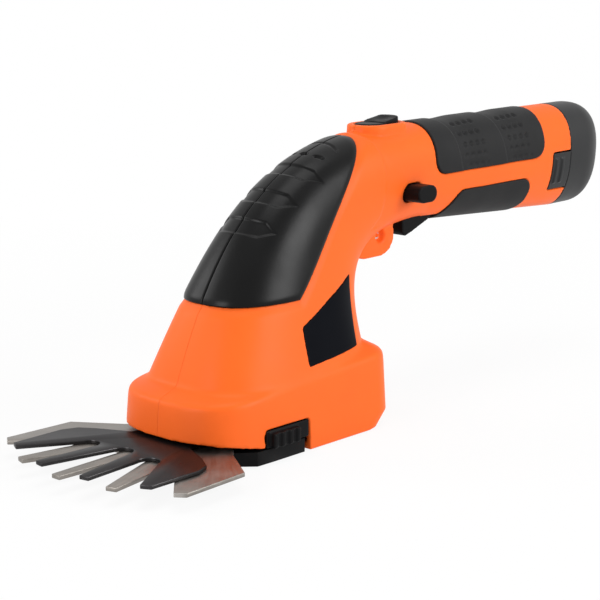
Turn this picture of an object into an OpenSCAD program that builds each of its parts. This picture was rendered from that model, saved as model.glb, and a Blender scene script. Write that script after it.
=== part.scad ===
// Cordless grass shears: a two-part body over a geared drive, a fan-shaped blade pair
// that drops out of its base, and a battery pack that slides out of the handle.
// Millimetres. The origin is on the ground under the blade pivot and -X is forward.

/* [Blades] */
// Pivot to the tips of the lower blade
lower_tip_r = 72.6; // [70:0.2:76]
// Pivot to the tips of the upper blade
upper_tip_r = 71.2; // [68:0.2:74]
// Angle between neighbouring teeth
tooth_pitch = 18.4; // [17.4:0.1:19]
// Teeth on the lower blade, one more than on the upper blade
lower_teeth = 5; // [4:1:5]
// Width of a tooth at its tip
tooth_tip_w = 3.6; // [3:0.2:4.6]
// Radius of the round root between two teeth
root_round_r = 4; // [3.4:0.1:4.4]
// Pivot to the row of tooth roots, along X
root_x = 39.5; // [38:0.5:42]
// Thickness of each blade
blade_t = 1.5; // [1.2:0.1:1.6]
// Radius of the blade pivot post
pivot_r = 5; // [4:0.1:6]

/* [Base] */
// Pivot to the front of the skirt
base_front = 27.5; // [26.5:0.1:29]
// Pivot to the rear of the skirt
base_rear = 68.6; // [67:0.2:74]
// Half of the skirt's width
base_half_w = 29; // [28.4:0.1:31]
// Radius of the skirt's rear corners
base_corner_r = 12; // [8:0.5:15]
// Height of the skirt's wall at the front
skirt_h = 22; // [21.4:0.1:22.8]
// Height of the front shoulder at the tower's foot
shoulder_h = 24; // [23.4:0.2:25]
// Height of the skirt's wall at the rear
rear_wall_h = 28; // [26:0.5:30]
// Height of the rear shoulder at the tower's foot
rear_shoulder_h = 32; // [31:0.5:35]
// Thickness of the blade carrier
carrier_t = 5; // [4.6:0.1:5.2]

/* [Tower and handle] */
// Half of the tower's width at its foot
foot_half_w = 28; // [26:0.5:28.5]
// Half of the neck's width
neck_half_w = 15; // [14.6:0.1:16.5]
// Width of the handle
handle_w = 28.5; // [28:0.1:31]
// Height of the handle at its rear end
handle_h = 43.4; // [42.6:0.1:45]
// How much lower the handle is at its front end
handle_taper = 5.4; // [4:0.1:6]
// Height of the top of the handle
handle_top = 106.4; // [105:0.1:108]
// Pivot to the rear end of the body's handle
handle_end = 200; // [194:1:212]
// Wall of the body's two halves
wall = 2.4; // [2.2:0.1:2.6]
// Thickness of the front cover
cover_t = 1.4; // [1.2:0.1:1.5]
// How far the front cover stands proud of the body
cover_proud = 0.5; // [0.2:0.1:0.8]
// Thickness of the soft grips
grip_t = 1.5; // [1.2:0.1:1.6]
// How far the soft grips stand proud of the handle
grip_proud = 0.5; // [0.2:0.1:0.8]
// Thickness of the side plates
plate_t = 0.8; // [0.6:0.1:1]

/* [Drive] */
// Pivot to the crank axis
crank_x = 22; // [21:0.2:22.6]
// Size of the gear teeth
gear_module = 0.7; // [0.66:0.01:0.72]
// Teeth on the drive gear
gear_teeth = 54; // [50:1:55]
// Teeth on the motor's pinion
pinion_teeth = 12; // [11:1:13]
// Diameter of the motor
motor_d = 27.6; // [26:0.1:28]
// Length of the motor's can
motor_l = 38; // [34:0.5:40]
// Thickness of the gearbox frame's plate
frame_t = 2.6; // [2.4:0.1:2.8]

/* [Controls] */
// Width of the trigger
trigger_w = 12; // [10:0.2:13]
// Radius of the trigger's pin
trigger_pin_r = 1.5; // [1.2:0.1:1.8]
// Length of the lock-off button's head along the handle
lock_l = 11; // [10:0.2:12]
// Height of the lock-off button's head
lock_h = 6.5; // [6:0.1:7]
// How far the lock-off button stands out at rest
lock_proud = 6.5; // [5.8:0.1:7]
// Length of the thumb button on top
thumb_l = 19.5; // [18.5:0.5:20.5]
// Width of the thumb button
thumb_w = 10.6; // [10.4:0.2:11.4]
// How far the release buttons stand out
release_proud = 2.2; // [1.5:0.1:2.6]

/* [Battery] */
// Length of the battery pack behind the handle
battery_tail = 28; // [24:0.5:34]
// Diameter of a cell
cell_d = 14.5; // [14:0.1:16]
// Length of a cell
cell_l = 50; // [44:0.5:52]

/* [Fits] */
// Gap at fixed seats
seat_gap = 0.15; // [0.1:0.01:0.2]
// Gap round moving pieces
move_gap = 0.4; // [0.35:0.01:0.5]
// Radial gap of a running shaft
run_gap = 0.05; // [0.03:0.01:0.08]

/* [Hidden] */
$fn = 48;

orange = [0.95, 0.38, 0.12];
black = [0.10, 0.10, 0.11];
soft_black = [0.17, 0.17, 0.18];
label_black = [0.07, 0.08, 0.11];
steel = [0.62, 0.62, 0.60];
dark_steel = [0.27, 0.27, 0.30];
zinc = [0.72, 0.73, 0.75];
brass = [0.78, 0.62, 0.28];
copper = [0.78, 0.42, 0.22];
white = [0.88, 0.88, 0.85];
board_green = [0.10, 0.36, 0.22];
cell_blue = [0.16, 0.34, 0.62];

big = 400;
ring_n = 40;
core_n = 24;
section_power = 2.3;
rear_power = 3.6;
foot_power = 3.4;
skirt_power = 2.8;

// Levels of the blade set and the drive, from the ground up
lower_blade_z = carrier_t;
upper_blade_z = lower_blade_z + blade_t + run_gap;
blade_top = upper_blade_z + blade_t;
gear_cover_z = blade_top + 0.95;
gear_cover_t = 1.2;
gear_z = gear_cover_z + gear_cover_t + 0.8;
gear_t = 5.2;
frame_z = gear_z + gear_t + 0.3;
frame_top = frame_z + frame_t;
frame_inset = 7.2;
ledge_t = 1.6;

// Swing, crank and gear centres
swing = tooth_pitch / 2;
crank_r = crank_x * sin(swing);
mesh_slack = 0.06;
motor_x = crank_x + gear_module * (gear_teeth + pinion_teeth) / 2 + mesh_slack;
gear_outer_r = gear_module * (gear_teeth / 2 + 0.85);
pinion_outer_r = gear_module * (pinion_teeth / 2 + 0.85);
pressure_angle = 25;
shaft_r = 3;
bush_r = 5;
crank_pin_r = 2;
roller_r = 3.2;
slot_gap = 0.7;
motor_shaft_r = 1.15;
motor_boss_r = 5;
motor_boss_h = 2.2;
can_inner_r = motor_d / 2 - 1.2;
can_base_t = 2;
cap_h = 4;
cap_bore = 2.4;
magnet_z = 4;
magnet_l = motor_l - cap_h - 2 * magnet_z;
armature_r = can_inner_r - 3;

// Curves of the tower in the middle plane: front from the foot to the neck, then rear
axis_rise = 0.9;
handle_axis_z = handle_top - handle_h / 2 + axis_rise;
handle_low = handle_top - handle_h + handle_taper;
lock_x = 93.7;
thumb_x = lock_x - 4.9;
pedestal_rim = 3.1;
handle_start = thumb_x + 19.2;
tower_h = handle_low - shoulder_h;
tower_low_z = 12;
tower_front_x = -19;
tower_rear_x = 65;
foot_z = shoulder_h - 2;
neck_low_z = handle_low + 0.4;
front_curve = [
    [tower_front_x, foot_z], [-1, handle_top - 36], [24, handle_top - 7.7], [72, handle_top - 1.1]
];
rear_curve = [
    [tower_rear_x, foot_z], [61, handle_low - 18.2], [62, neck_low_z], [handle_start - 3, neck_low_z]
];
foot_fade = 2.3;
power_fade = 4.8;
tower_n = 14;
egg = 0.08;

// Zones on the skin, as outlines in the middle plane
cover_drop = [53.8, 39.4, 19.4, 1];
cover_low_z = handle_top - cover_drop[0];
cover_clear = 6.95;
cover_end_x = thumb_x - thumb_l / 2 - pedestal_rim - cover_clear;
cover_edge = [
    [23, cover_low_z], [40, handle_top - cover_drop[1]],
    [cover_end_x - 17, handle_top - cover_drop[2]], [cover_end_x, handle_top - cover_drop[3]]
];
cover_steps = 10;
plate_proud = 0.1;
plate_places = [[54, 0.741], [22, 0.4257], [22.2, 0.1149], [51.6, 0.1667]];
plate_corners = [for (p = plate_places) [p[0], shoulder_h + p[1] * tower_h]];
top_grip_end = 20;
lower_grip_start = 9;
lower_grip_end = 27;
lower_grip_drop = 6.6;
top_grip_x = [handle_start, handle_end - top_grip_end];
top_grip_z = handle_axis_z + 1.4;
lower_grip_x = [handle_start + lower_grip_start, handle_end - lower_grip_end];
lower_grip_z = handle_axis_z - lower_grip_drop;
grip_corner_r = 6;

// Blade set
upper_teeth = lower_teeth - 1;
carrier_rear = 19;
carrier_front = -13;
carrier_chamfer = 6;
tongue_front = -25;
tongue_half_w = 15;
hub_r = 13;
tail_half_w = 9;
rivet_places = [[-14, 10], [3, 12]];
rivet_r = 1.8;
tail_cover = [34.6, 15];

// Release buttons, for the left side
release_x = [-3, carrier_rear];
release_z = [carrier_t - 0.3, 11.7];
release_grip_x = [-1, 12.4];
release_travel = 2.5;
release_plate_t = 2.5;
release_y = base_half_w - 0.1;
guide_y = [18.5, 20.5];
guide_h = 3.4;
stem_w = 3;
stem_h = 2.6;
stem_x = [2, 14];
release_spring_r = 1.5;

// Trigger and switch
trigger_front = lock_x + 3.8;
trigger_l = 26.5;
trigger_x = trigger_front + trigger_l;
trigger_z = handle_low + 7.1;
trigger_hub_r = 3;
trigger_nose_z = handle_low - 5.1;
trigger_nose_r = 2.2;
trigger_pin_reach = 2.6;
switch_l = 17.5;
switch_h = 10;
switch_x = [trigger_front + 4, trigger_front + 4 + switch_l];
switch_low_z = trigger_z + 8.6;
switch_z = [switch_low_z, switch_low_z + switch_h];
switch_half_w = 5;
switch_ribs = [switch_x[0] + 1.5, switch_x[1] - 3];
trigger_spring_x = switch_x[1] - 6;
trigger_spring_r = 2.4;
trigger_pad_z = trigger_z + 2.4;

// Lock-off button and thumb button
lock_z = handle_axis_z - 3.6;
lock_travel = 5;
lock_rod_r = 2.3;
lock_flange_t = 1.4;
lock_flange_rim = 1.4;
lock_skin_y = neck_half_w + 0.2;
lock_flange_y = lock_skin_y - wall - 2.5;
lock_rib_y = [1, 2.4];
lock_core_y = 8;
lock_head_y = 9;
thumb_top = handle_top + 3.7;
thumb_bottom = handle_top - 3;
thumb_travel = 2;
thumb_floor = thumb_bottom - thumb_travel - 2;
pedestal_top = handle_top + 1.5;
thumb_spring_r = 3.6;
thumb_well = 3.4;

// Nub in front of the trigger
nub_r = 7.8;
nub_x = [lock_x - 17.7, lock_x - 8.7];
nub_z = handle_low - 3.1;
nub_half_w = 6;

// Board, contact block and battery
board_x = [50, 82];
board_t = 1.6;
lead_r = 0.9;
lead_clear = 0.8;
lead_rise = 2.2;
lead_z = thumb_floor - wall - lead_r - lead_clear;
board_z = lead_z - lead_rise - board_t;
board_half_w = 8.5;
board_ribs = [60, 74];
rib_t = 1.4;
contact_x = [trigger_x + 4, trigger_x + 13];
contact_half_w = 9.2;
contact_half_h = 9.4;
contact_ribs = [contact_x[0] + 1.4, contact_x[0] + 6.4];
blade_pitch = 5;
contact_blade = [10, 0.8, 5];
battery_front = contact_x[1] + 3;
battery_wall = 1.6;
battery_inset = wall + 0.35;
chamber_l = 6.4;
board2_t = 1.2;
board2_half = 7.8;
cell_x = battery_front + battery_wall + chamber_l + board2_t + 0.4;
cell_gap = 0.2;
cell_step = cell_d / 2 + cell_gap;
cell_bore_r = cell_d / 2 + 0.25;
latch_x = [handle_end - 13, handle_end];
latch_z = [handle_axis_z - 13.8, handle_axis_z + 2.2];
latch_t = 1.5;
latch_travel = 1.2;
latch_pocket = latch_t + latch_travel + 0.4;
latch_pin_r = 1.2;
latch_spring_r = 1.9;
latch_well_r = 2.6;
latch_pin_x = handle_end - 6.5;
latch_pin_z = handle_axis_z - 0.8;
latch_well_y = cell_d / 2 + 0.6;
latch_pin_end = cell_d / 2;
latch_pin_stop = latch_pin_end - latch_travel - 0.3;

// Screws that close the body: x, z, outer face of the head, tip of the shank
screw_head_r = 2.6;
screw_head_t = 2;
screw_r = 1.4;
boss_r = 3.1;
drive_boss_z = (gear_cover_z + gear_cover_t + frame_z) / 2;
closing_screws = [
    [-14, drive_boss_z, 24, -10],
    [62, drive_boss_z, 24, -10],
    [58, handle_low + 8.3, neck_half_w - 1.2, -9],
    [nub_x[1] - 0.5, nub_z, nub_half_w - 1.4, -nub_half_w + 2],
    [trigger_x - 0.5, handle_axis_z - 1.4, handle_w / 2 - 2.8, -8]
];
boss_top_r = 2.8;
spacer_places = [[-6, 12], [54, 14]];
spacer_r = 3;
cover_screw_r = 1.2;
cover_screw_head_r = 2.2;
cover_screw_head_t = 0.7;
motor_screw_y = 8;
motor_screw_r = 1.25;
motor_screw_head_r = 2.1;
motor_screw_head_t = 1.4;

// Routes of the leads, for the left side
lead_sides = 8;
motor_tab_y = 7;
motor_top = frame_top + motor_l;
motor_tab_h = 3.6;
motor_tab_top = motor_top + motor_tab_h;
motor_rise = board_z - motor_tab_top;
motor_route = concat(
    [for (p = [[56, 1], [55.6, 0.87], [54, 0.7], [51, 0.5], [48, 0.34]])
        [p[0], -motor_tab_y, motor_tab_top + p[1] * motor_rise]],
    [[motor_x, -motor_tab_y, motor_tab_top + 0.13 * motor_rise], [motor_x, -motor_tab_y, motor_tab_top]]
);
lead_y = 6.8;
battery_route = [
    [contact_x[0], -lead_y, lead_z], [contact_x[0] - 6, -lead_y, lead_z],
    [contact_x[0] - 18, -lead_y, lead_z], [board_x[1] + 16, -lead_y, lead_z],
    [board_x[1] + 6, -lead_y, lead_z], [board_x[1], -lead_y, lead_z - 0.1],
    [board_x[1] - 2.4, -lead_y, lead_z - 0.5], [board_x[1] - 3, -lead_y, lead_z - 1.2],
    [board_x[1] - 3, -lead_y, board_z + board_t]
];

function spow(v, e) = sign(v) * pow(abs(v), e);
function bez(p, t) = pow(1 - t, 3) * p[0] + 3 * pow(1 - t, 2) * t * p[1]
    + 3 * (1 - t) * t * t * p[2] + pow(t, 3) * p[3];
function mirror_y(points) = [for (p = points) [p[0], -p[1], p[2]]];

// A station holds its front or top point, its rear or lower point, half its width,
// its egg shape and the squareness of its rear or lower half and of its other half
function tower_station(t) = [
    bez(front_curve, t), bez(rear_curve, t),
    neck_half_w + (foot_half_w - neck_half_w) * pow(1 - t, foot_fade), egg * t,
    rear_power + (section_power - rear_power) * t,
    section_power + (foot_power - section_power) * pow(1 - t, power_fade)
];
function handle_low_at(x) = handle_low
    - handle_taper * min(1, (x - handle_start) / (handle_end - handle_start));
function handle_station(x, shrink = 0) = [
    [x, handle_top - shrink], [x, handle_low_at(x) + shrink], handle_w / 2 - shrink, egg,
    section_power, section_power
];
function tower_stations(step) = concat(
    [[[tower_front_x, tower_low_z], [tower_rear_x, tower_low_z], foot_half_w, 0, rear_power, foot_power]],
    [for (i = [0:step:tower_n]) tower_station(i / tower_n)]
);
function handle_stations(tail) = [handle_station(handle_start), handle_station(handle_end + tail)];
function stations(tail, step = 1) = concat(tower_stations(step), handle_stations(tail));

// One closed ring of n points on a station, inset by d
function ring(s, d, n) = let (
    across = s[1] - s[0],
    mid = (s[0] + s[1]) / 2,
    half = norm(across) / 2 - d,
    dir = across / norm(across)
) [
    for (k = [0:n - 1])
    let (
        a = 360 * k / n,
        power = 2 / (cos(a) > 0 ? s[4] : s[5]),
        q = spow(cos(a), power),
        y = (s[2] - d) * spow(sin(a), power) * (1 - s[3] * q)
    )
    [mid[0] + dir[0] * half * q, y, mid[1] + dir[1] * half * q]
];

// Plan of the skirt, inset by d, with its rear pulled forward by trim
function skirt_plan(d, trim = 0) = let (
    r = base_corner_r - d,
    cx = base_rear - base_corner_r - trim,
    cy = base_half_w - base_corner_r,
    power = 2 / skirt_power
) concat(
    [
        for (a = [90:7.5:270])
        [(base_front - d) * spow(cos(a), power), (base_half_w - d) * spow(sin(a), power)]
    ],
    [for (a = [-90:15:0]) [cx + r * cos(a), -cy + r * sin(a)]],
    [for (a = [0:15:90]) [cx + r * cos(a), cy + r * sin(a)]]
);
function at_height(plan, z) = [for (p = plan) [p[0], p[1], z]];
function at_slope(plan, front_z, rear_z) = [
    for (p = plan)
    [p[0], p[1], front_z + (rear_z - front_z) * (p[0] + base_front) / (base_rear + base_front)]
];

// Convex span over two or more sets of points
module span(points) {
    n = len(points);
    hull() polyhedron(points = points, faces = [for (i = [0:n - 1]) [i, (i + 1) % n, (i + 2) % n]]);
}

// Closed solid through rings that all have the same number of points
module sweep(rings) {
    n = len(rings);
    m = len(rings[0]);
    polyhedron(
        points = [for (r = rings) each r],
        faces = concat(
            [[for (k = [0:m - 1]) k]],
            [
                for (i = [0:n - 2], k = [0:m - 1])
                let (a = i * m + k, b = i * m + (k + 1) % m)
                each k < m / 2 ? [[a, a + m, b + m], [a, b + m, b]] : [[a, a + m, b], [b, a + m, b + m]]
            ],
            [[for (k = [m - 1:-1:0]) (n - 1) * m + k]]
        )
    );
}

module loft(list, d, n = ring_n) {
    sweep([for (s = list) ring(s, d, n)]);
}

// Body form inset by d, drawn with fewer faces, for all that lies under the skin
module core(d) {
    loft(stations(1, 2), d, core_n);
}

// Outline in the middle plane, drawn out to both sides
module side_prism(outline, width) {
    rotate([90, 0, 0]) linear_extrude(height = width, center = true) polygon(outline);
}

module block(low, high) {
    translate(low) cube(high - low);
}

// Rod along Y between two heights
module rod_y(x, z, y0, y1, r) {
    translate([x, y0, z]) rotate([-90, 0, 0]) cylinder(h = y1 - y0, r = r);
}

// Rod with a stretched round section along Y
module oblong_y(x, z, y0, y1, l, h) {
    side = (l - h) / 2;
    for (s = [-1, 1]) rod_y(x + s * side, z, y0, y1, h / 2);
    block([x - side, y0, z - h / 2], [x + side, y1, z + h / 2]);
}

// Upright oval between two heights
module oval(x, z0, z1, l, w) {
    side = (l - w) / 2;
    for (s = [-1, 1]) translate([x + s * side, 0, z0]) cylinder(h = z1 - z0, r = w / 2);
    block([x - side, -w / 2, z0], [x + side, w / 2, z1]);
}

// Tube along a route, square to it at both ends
module lead(route) {
    n = len(route);
    m = lead_sides;
    sweep([
        for (i = [0:n - 1])
        let (
            ahead = route[min(i + 1, n - 1)] - route[max(i - 1, 0)],
            side = [0, 1, 0],
            up = cross(ahead / norm(ahead), side)
        )
        [for (k = [0:m - 1]) route[i] + lead_r * (cos(360 * k / m) * side + sin(360 * k / m) * up)]
    ]);
}

// Coil spring along Z with flat-lying end turns
module coil(r, wire, height, turns) {
    per_turn = 8;
    m = 6;
    n = turns * per_turn;
    climb = height - wire;
    sweep([
        for (i = [0:n])
        let (a = 360 * i / per_turn, z = wire / 2 + climb * i / n)
        [
            for (k = [0:m - 1])
            let (c = r - wire / 2 + wire / 2 * cos(360 * k / m))
            [c * cos(a), c * sin(a), z + wire / 2 * sin(360 * k / m)]
        ]
    ]);
}

// Gear outline with involute flanks
function involute(c) = tan(c) * 180 / PI - c;
function gear_outline(teeth, slack) = let (
    rp = gear_module * teeth / 2,
    rb = rp * cos(pressure_angle),
    ra = rp + 0.85 * gear_module,
    rf = rp - 1.15 * gear_module,
    half = 90 / teeth - slack / rp * 90 / PI,
    low = max(rb, rf),
    radii = [rf, low, (low + rp) / 2, rp, (rp + ra) / 2, ra],
    flank = [for (r = radii) half + involute(pressure_angle) - involute(acos(rb / max(r, rb)))]
) [
    for (k = [0:teeth - 1]) each concat(
        [for (i = [0:len(radii) - 1]) radii[i]
            * [cos(360 * k / teeth - flank[i]), sin(360 * k / teeth - flank[i])]],
        [for (i = [len(radii) - 1:-1:0]) radii[i]
            * [cos(360 * k / teeth + flank[i]), sin(360 * k / teeth + flank[i])]]
    )
];
gear_backlash = 0.1;

// Body form: skirt, tower with neck and handle, pedestal and nub
shoulder_in = 8;
skirt_draft = 1.2;
bottom_round = 5.5;

module skirt(d, floor_z) {
    low = skirt_plan(d, bottom_round);
    full = skirt_plan(d);
    crest = at_slope(skirt_plan(d + skirt_draft), skirt_h - d, rear_wall_h - d);
    span(concat(at_height(low, floor_z), at_height(full, max(bottom_round, floor_z)), crest));
    span(concat(crest, at_slope(skirt_plan(d + shoulder_in), shoulder_h - d, rear_shoulder_h - d)));
}

module nub() {
    hull() {
        for (x = nub_x) rod_y(x, nub_z, -nub_half_w, nub_half_w, nub_r, $fn = 32);
        rod_y(nub_x[0], nub_z + nub_r + 6, -nub_half_w, nub_half_w, nub_r, $fn = 32);
    }
}

module pedestal(low = thumb_floor - wall) {
    oval(thumb_x, low, pedestal_top, thumb_l + 2 * pedestal_rim, thumb_w + 2 * pedestal_rim);
}

module body_outer() {
    loft(stations(0), 0);
    skirt(0, 0);
    nub();
}

module body_inner() {
    core(wall);
    skirt(wall, wall);
}

// Zones of the pieces that lie on the skin
module cover_zone(grow) {
    edge = [for (i = [0:cover_steps]) bez(cover_edge, i / cover_steps)];
    last = edge[cover_steps];
    side_prism(concat(
        [[-big, cover_low_z - grow], edge[0] + [grow, -grow]],
        [for (i = [1:cover_steps]) edge[i] + [grow, 0]],
        [[last[0] + grow, big], [-big, big]]
    ), big);
}

module plate_zone(grow) {
    side_prism(plate_corners + grow * [[1, 1.2], [-1.2, 0.4], [-1, -1], [1, -1]], big);
}

module top_grip_zone(grow) {
    x0 = top_grip_x[0] - grow;
    x1 = top_grip_x[1] + grow;
    z0 = top_grip_z - grow;
    r = grip_corner_r;
    side_prism(concat(
        [for (a = [180:15:270]) [x0 + r + r * cos(a), z0 + r + r * sin(a)]],
        [for (a = [270:15:360]) [x1 - r + r * cos(a), z0 + r + r * sin(a)]],
        [[x1, big], [x0, big]]
    ), big);
}

module lower_grip_zone(grow) {
    x0 = lower_grip_x[0] - grow;
    z1 = lower_grip_z + grow;
    r = grip_corner_r + grow;
    cx = lower_grip_x[1] - grip_corner_r;
    cz = lower_grip_z - grip_corner_r;
    rise = lower_grip_z - handle_low;
    low = handle_low - 2 * handle_taper;
    side_prism(concat(
        [[x0 - 4, low], [x0, handle_low], [x0 + rise * 0.72, z1 - 1.4], [x0 + rise * 0.92, z1]],
        [for (a = [90:-15:-90]) [cx + r * cos(a), (a >= 0 ? cz : cz - 2) + r * sin(a)]],
        [[cx, low]]
    ), big);
}

// What lies on the tower's or the handle's skin between its outer face and a depth
module tower_skin(proud, depth) {
    difference() {
        loft(stations(0), -proud);
        core(depth);
    }
}

// The same on the tower's lower part alone
lower_n = 8;
module lower_skin(proud, depth) {
    outer = tower_stations(1);
    inner = tower_stations(2);
    difference() {
        loft([for (i = [0:lower_n + 1]) outer[i]], -proud);
        loft([for (i = [0:lower_n / 2 + 1]) inner[i]], depth, core_n);
    }
}

module handle_skin(proud, depth) {
    difference() {
        loft(handle_stations(0), -proud);
        loft(handle_stations(1), depth, core_n);
    }
}

module half(side) {
    intersection() {
        children();
        translate([-big / 2, side < 0 ? -big : 0, -big / 2]) cube(big);
    }
}

// Slab across the inside of the body
module slab(x, z0, z1) {
    intersection() {
        core(wall / 2);
        block([x, -big, z0], [x + rib_t, big, z1]);
    }
}

// Seats inside the body for the switch, board, contact block and gearbox frame
module seats() {
    difference() {
        for (x = switch_ribs) slab(x, switch_z[0] - 0.6, switch_z[1] - 1);
        switch_space(seat_gap);
    }
    difference() {
        for (x = board_ribs) slab(x, board_z - 3, board_z + board_t + 1.6);
        block([board_x[0] - 1, -board_half_w - seat_gap, board_z - seat_gap],
            [board_x[1] + 1, board_half_w + seat_gap, board_z + board_t + seat_gap]);
        block([board_x[0], -board_half_w + 2, board_z - 9],
            [board_x[1], board_half_w - 2, board_z + 20]);
    }
    difference() {
        for (x = contact_ribs) slab(x, handle_low, handle_top);
        contact_space(seat_gap);
        for (s = [-1, 1]) block([contact_x[0] - 20, s * lead_y - 2, lead_z - 2],
            [contact_x[1], s * lead_y + 2, lead_z + 2]);
    }
    difference() {
        linear_extrude_at(frame_z - ledge_t, frame_z) polygon(skirt_plan(wall / 2 + skirt_draft));
        linear_extrude_at(0, skirt_h) polygon(skirt_plan(frame_inset + 1.4));
    }
    for (s = closing_screws) intersection() {
        rod_y(s[0], s[1], -big, big, s[1] == drive_boss_z ? boss_top_r : boss_r);
        union() {
            core(wall / 2);
            skirt(wall / 2, wall / 2);
        }
    }
    intersection() {
        for (s = [-1, 1]) rod_y(trigger_x, trigger_z, s < 0 ? -big : trigger_w / 2 + move_gap,
            s < 0 ? -trigger_w / 2 - move_gap : big, trigger_pin_r + 1.8);
        core(wall / 2);
    }
    intersection() {
        block([lock_x - lock_rod_r - 3, lock_rib_y[0], lock_z - 3.6],
            [lock_x + lock_rod_r + 3, lock_rib_y[1], handle_top]);
        core(wall / 2);
    }
}

module linear_extrude_at(z0, z1) {
    translate([0, 0, z0]) linear_extrude(height = z1 - z0) children();
}

// Everything cut out of the body
module body_cuts() {
    difference() {
        cover_zone(seat_gap);
        core(cover_t + seat_gap);
    }
    difference() {
        plate_zone(seat_gap);
        core(plate_t + seat_gap);
    }
    difference() {
        union() {
            top_grip_zone(seat_gap);
            lower_grip_zone(seat_gap);
        }
        core(grip_t + seat_gap);
    }
    // blade set, stepped up towards the front
    block([-big, -big, -big], [carrier_rear + move_gap, big, carrier_t + move_gap]);
    block([carrier_rear - 1, -tail_cover[1] - move_gap, -1],
        [tail_cover[0] + move_gap, tail_cover[1] + move_gap, wall + 1]);
    block([-big, -big, -big], [carrier_front + 1.2, big, upper_blade_z + 0.5]);
    block([-big, -big, -big], [carrier_front - 6.4, big, gear_cover_z]);
    for (s = [-1, 1]) {
        y = base_half_w;
        block([release_x[0], s < 0 ? -y - 4 : y - 5, -1],
            [release_x[1] + move_gap, s < 0 ? 5 - y : y + 4, release_z[1]]);
    }
    // trigger, lock-off button and thumb button
    block([trigger_front - 1.2, -trigger_w / 2 - move_gap, 0],
        [trigger_x - trigger_hub_r + 1.6, trigger_w / 2 + move_gap, trigger_pad_z]);
    pin_y = trigger_w / 2 + trigger_pin_reach;
    rod_y(trigger_x, trigger_z, -pin_y - seat_gap, pin_y + seat_gap, trigger_pin_r + seat_gap);
    for (s = [-1, 1]) oblong_y(lock_x, lock_z,
        s < 0 ? -big / 2 : lock_core_y, s < 0 ? -lock_core_y : big / 2,
        lock_l + 2 * move_gap, lock_h + 2 * move_gap);
    rod_y(lock_x, lock_z, 0, lock_core_y, lock_rod_r + move_gap);
    oval(thumb_x, thumb_floor, big, thumb_l + 2 * move_gap, thumb_w + 2 * move_gap);
    // battery latches at the open end of the handle
    for (s = [-1, 1]) block([latch_x[0], s < 0 ? -big : 2, latch_z[0]],
        [latch_x[1] + 1, s < 0 ? -2 : big, latch_z[1]]);
    // closing screws, headed on the right
    for (s = closing_screws) {
        rod_y(s[0], s[1], s[3] - seat_gap, s[2], screw_r + seat_gap);
        rod_y(s[0], s[1], s[2] - screw_head_t, big, screw_head_r + seat_gap);
    }
    rod_y(closing_screws[3][0], nub_z, -big, -nub_half_w + 1.2, screw_head_r);
}

module housing(side) {
    color(orange) half(side) difference() {
        union() {
            difference() {
                union() {
                    body_outer();
                    intersection() {
                        pedestal();
                        union() {
                            loft(stations(0), 0);
                            pedestal(handle_top - 6);
                        }
                    }
                }
                difference() {
                    body_inner();
                    pedestal();
                }
            }
            seats();
        }
        body_cuts();
    }
}

module left_housing() { housing(-1); }
module right_housing() { housing(1); }

module front_cover(side) {
    color(black) half(side) intersection() {
        tower_skin(cover_proud, cover_t);
        cover_zone(0);
    }
}

module left_front_cover() { front_cover(-1); }
module right_front_cover() { front_cover(1); }

module side_plate(side) {
    color(label_black) half(side) intersection() {
        lower_skin(plate_proud, plate_t);
        plate_zone(0);
    }
}

module left_side_plate() { side_plate(-1); }
module right_side_plate() { side_plate(1); }

module top_grip() {
    color(soft_black) intersection() {
        handle_skin(grip_proud, grip_t);
        top_grip_zone(0);
    }
}

module lower_grip() {
    color(soft_black) intersection() {
        handle_skin(grip_proud, grip_t);
        lower_grip_zone(0);
    }
}

module housing_screws() {
    color(zinc) for (s = closing_screws) {
        difference() {
            rod_y(s[0], s[1], s[2] - screw_head_t, s[2], screw_head_r);
            translate([s[0], s[2] - 1, s[1]]) rotate([-90, 0, 0]) cylinder(h = 2, r = 1.3, $fn = 6);
        }
        rod_y(s[0], s[1], s[3], s[2] - screw_head_t, screw_r);
    }
}

// Drive
module gearbox_frame() {
    color(zinc) difference() {
        union() {
            linear_extrude_at(frame_z, frame_top) polygon(skirt_plan(frame_inset));
            translate([crank_x, 0, frame_top]) cylinder(h = 3, r = bush_r + 2.5);
            for (p = spacer_places, s = [-1, 1]) translate([p[0], s * p[1], gear_cover_z + gear_cover_t])
                cylinder(h = frame_z - gear_cover_z - gear_cover_t, r = spacer_r);
        }
        translate([crank_x, 0, 0]) cylinder(h = big, r = bush_r);
        translate([motor_x, 0, 0]) cylinder(h = big, r = motor_boss_r + seat_gap);
        for (s = [-1, 1]) translate([motor_x, s * motor_screw_y, 0])
            cylinder(h = big, r = motor_screw_r + seat_gap);
        for (p = spacer_places, s = [-1, 1]) translate([p[0], s * p[1], 0])
            cylinder(h = frame_z + 1, r = cover_screw_r);
    }
}

gear_cover_inset = 6;
module gear_cover() {
    color(black) difference() {
        linear_extrude_at(gear_cover_z, gear_cover_z + gear_cover_t)
            polygon(skirt_plan(gear_cover_inset));
        translate([crank_x, 0, 0]) cylinder(h = big, r = crank_r + crank_pin_r + 1.2);
        for (p = spacer_places, s = [-1, 1]) translate([p[0], s * p[1], 0])
            cylinder(h = big, r = cover_screw_r + seat_gap);
    }
}

module gear_cover_screws() {
    color(zinc) for (p = spacer_places, s = [-1, 1]) translate([p[0], s * p[1], gear_cover_z]) {
        translate([0, 0, -cover_screw_head_t]) cylinder(h = cover_screw_head_t, r = cover_screw_head_r);
        cylinder(h = frame_z - gear_cover_z, r = cover_screw_r);
    }
}

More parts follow.
